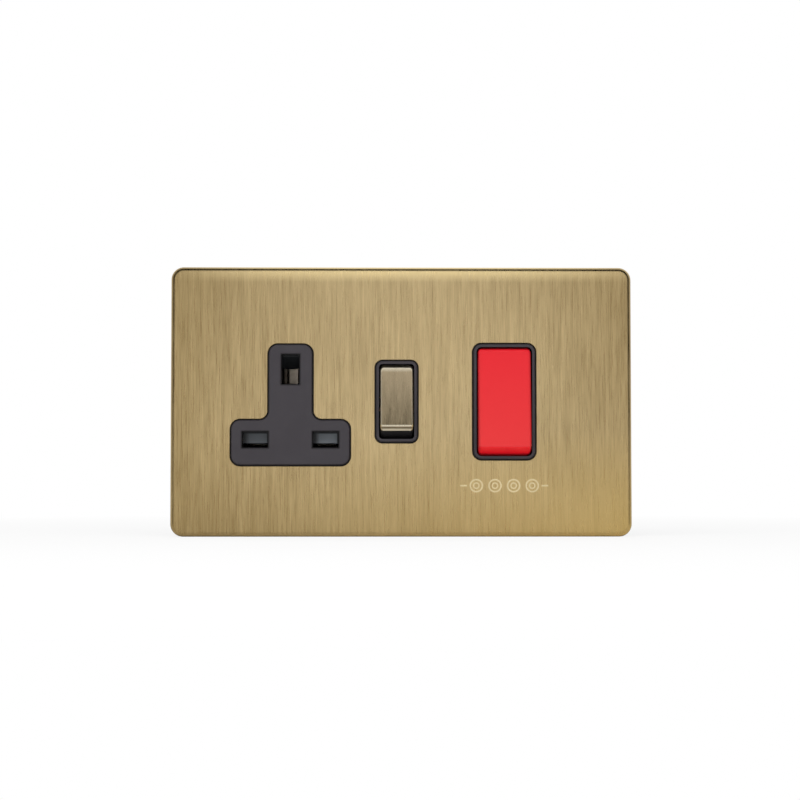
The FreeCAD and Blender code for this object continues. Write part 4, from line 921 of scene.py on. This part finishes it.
class UNIT_OT_stage(bpy.types.Operator):
    """Set the floor, the lamps, the white background and the camera"""

    bl_idname = "unit.stage"
    bl_label = "Stage"

    def execute(self, context):
        stage = context.scene.unit_stage
        self.lay_floor(stage)
        self.hang_lamps(stage)
        self.set_world(context.scene, stage)
        self.place_camera(context.scene, stage)
        context.scene.view_settings.view_transform = "Standard"
        return {"FINISHED"}

    def lay_floor(self, stage):
        mesh = bmesh.new()
        bmesh.ops.create_grid(mesh, x_segments=1, y_segments=1, size=FLOOR_REACH)
        data = bpy.data.meshes.new("floor")
        mesh.to_mesh(data)
        mesh.free()
        floor = bpy.data.objects.new("floor", data)
        floor.location = (0, 0, CAD_BOX[0][2])
        bpy.context.scene.collection.objects.link(floor)
        paint = Finish("floor_paint", {
            "Base Color": rgba(stage.floor), "Roughness": 0.9, "Specular IOR Level": 0})
        glow = paint.node("ShaderNodeEmission", None, {"Color": rgba(WHITE), "Strength": 1})
        rays = paint.node("ShaderNodeLightPath", output="Is Camera Ray")
        away = paint.node("ShaderNodeVectorMath", {"operation": "LENGTH"},
                          {0: paint.place()}, output="Value")
        mixed = paint.node("ShaderNodeMixShader", None, {
            0: rays * paint.span(away, *FLOOR_FADE, FLOOR_GLOW, 1),
            1: Value(paint, paint.surface.outputs[0]), 2: glow})
        output = paint.tree.nodes["Material Output"]
        paint.tree.links.new(mixed.socket, output.inputs["Surface"])
        data.materials.append(paint.material)

    def hang_lamps(self, stage):
        for name, (place, width, height), power in (
                ("key_lamp", KEY_LAMP, stage.key_power),
                ("left_lamp", LEFT_LAMP, stage.fill_power),
                ("right_lamp", RIGHT_LAMP, stage.fill_power)):
            data = bpy.data.lights.new(name, "AREA")
            data.shape = "RECTANGLE"
            data.size, data.size_y, data.energy = width, height, power
            lamp = bpy.data.objects.new(name, data)
            lamp.location = place
            lamp.rotation_euler = (-Vector(place)).to_track_quat("-Z", "Y").to_euler()
            lamp.visible_glossy = False
            bpy.context.scene.collection.objects.link(lamp)

    def set_world(self, scene, stage):
        """White background, soft light, and a dark ring that only mirrored rays see."""
        world = bpy.data.worlds.new("studio")
        world.use_nodes = True
        shader = Shader(world.node_tree)
        direction = shader.node("ShaderNodeTexCoord", output="Generated")
        depth = shader.node("ShaderNodeSeparateXYZ", None, {0: direction}, output="Y")
        ring = shader.ramp(shader.span(depth, -1, 1), *MIRRORED_SKY)
        sky = rgba([stage.sky] * 3)
        glossy = shader.node("ShaderNodeLightPath", output="Is Glossy Ray")
        camera = shader.node("ShaderNodeLightPath", output="Is Camera Ray")
        clear = shader.node("ShaderNodeLightPath", output="Is Transmission Ray")
        seen = shader.node("ShaderNodeMath", {"operation": "MAXIMUM"}, {0: camera, 1: clear})
        soft = shader.mix(glossy, sky, ring)
        colour = shader.mix(seen, soft, rgba(WHITE))
        background = world.node_tree.nodes["Background"]
        world.node_tree.links.new(colour.socket, background.inputs["Color"])
        scene.world = world

    def place_camera(self, scene, stage):
        data = bpy.data.cameras.new("camera")
        data.sensor_width = SENSOR_MM
        data.lens = PIXELS_PER_METRE * stage.camera_distance * SENSOR_MM / PHOTO_WIDTH
        camera = bpy.data.objects.new("camera", data)
        target = Vector(((PHOTO_MIDDLE - PLATE_MIDDLE_X) / PIXELS_PER_METRE,
                         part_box("front_plate")[0][1],
                         (PLATE_MIDDLE_Y - PHOTO_MIDDLE) / PIXELS_PER_METRE))
        offset = Vector((-math.sin(stage.camera_left),
                         -math.cos(stage.camera_left) * math.cos(stage.camera_low),
                         -math.sin(stage.camera_low)))
        camera.location = target + offset * stage.camera_distance
        camera.rotation_euler = (-offset).to_track_quat("-Z", "Y").to_euler()
        scene.collection.objects.link(camera)
        scene.camera = camera


OPERATORS = (
    UNIT_OT_plate, UNIT_OT_legend, UNIT_OT_mouldings, UNIT_OT_rockers, UNIT_OT_contacts,
    UNIT_OT_springs, UNIT_OT_terminals, UNIT_OT_housing, UNIT_OT_stage)


class UNIT_PT_finishes(bpy.types.Panel):
    """Lists the settings and the pieces"""

    bl_idname = "UNIT_PT_finishes"
    bl_label = "Cooker Control Unit"
    bl_space_type = "VIEW_3D"
    bl_region_type = "UI"
    bl_category = "Cooker Unit"

    def draw(self, context):
        for name, group in GROUPS.items():
            box = self.layout.box()
            box.label(text=group.__doc__)
            settings = getattr(context.scene, name)
            for key in group.__annotations__:
                box.prop(settings, key)
        for operator in OPERATORS:
            self.layout.operator(operator.bl_idname)


CLASSES = (*GROUPS.values(), *OPERATORS, UNIT_PT_finishes)


def register():
    for item in CLASSES:
        bpy.utils.register_class(item)
    for name, group in GROUPS.items():
        setattr(bpy.types.Scene, name, bpy.props.PointerProperty(type=group))


def unregister():
    for name in GROUPS:
        delattr(bpy.types.Scene, name)
    for item in reversed(CLASSES):
        bpy.utils.unregister_class(item)


def main():
    register()
    for operator in OPERATORS:
        group, name = operator.bl_idname.split(".")
        getattr(getattr(bpy.ops, group), name)()


if __name__ == "__main__":
    main()
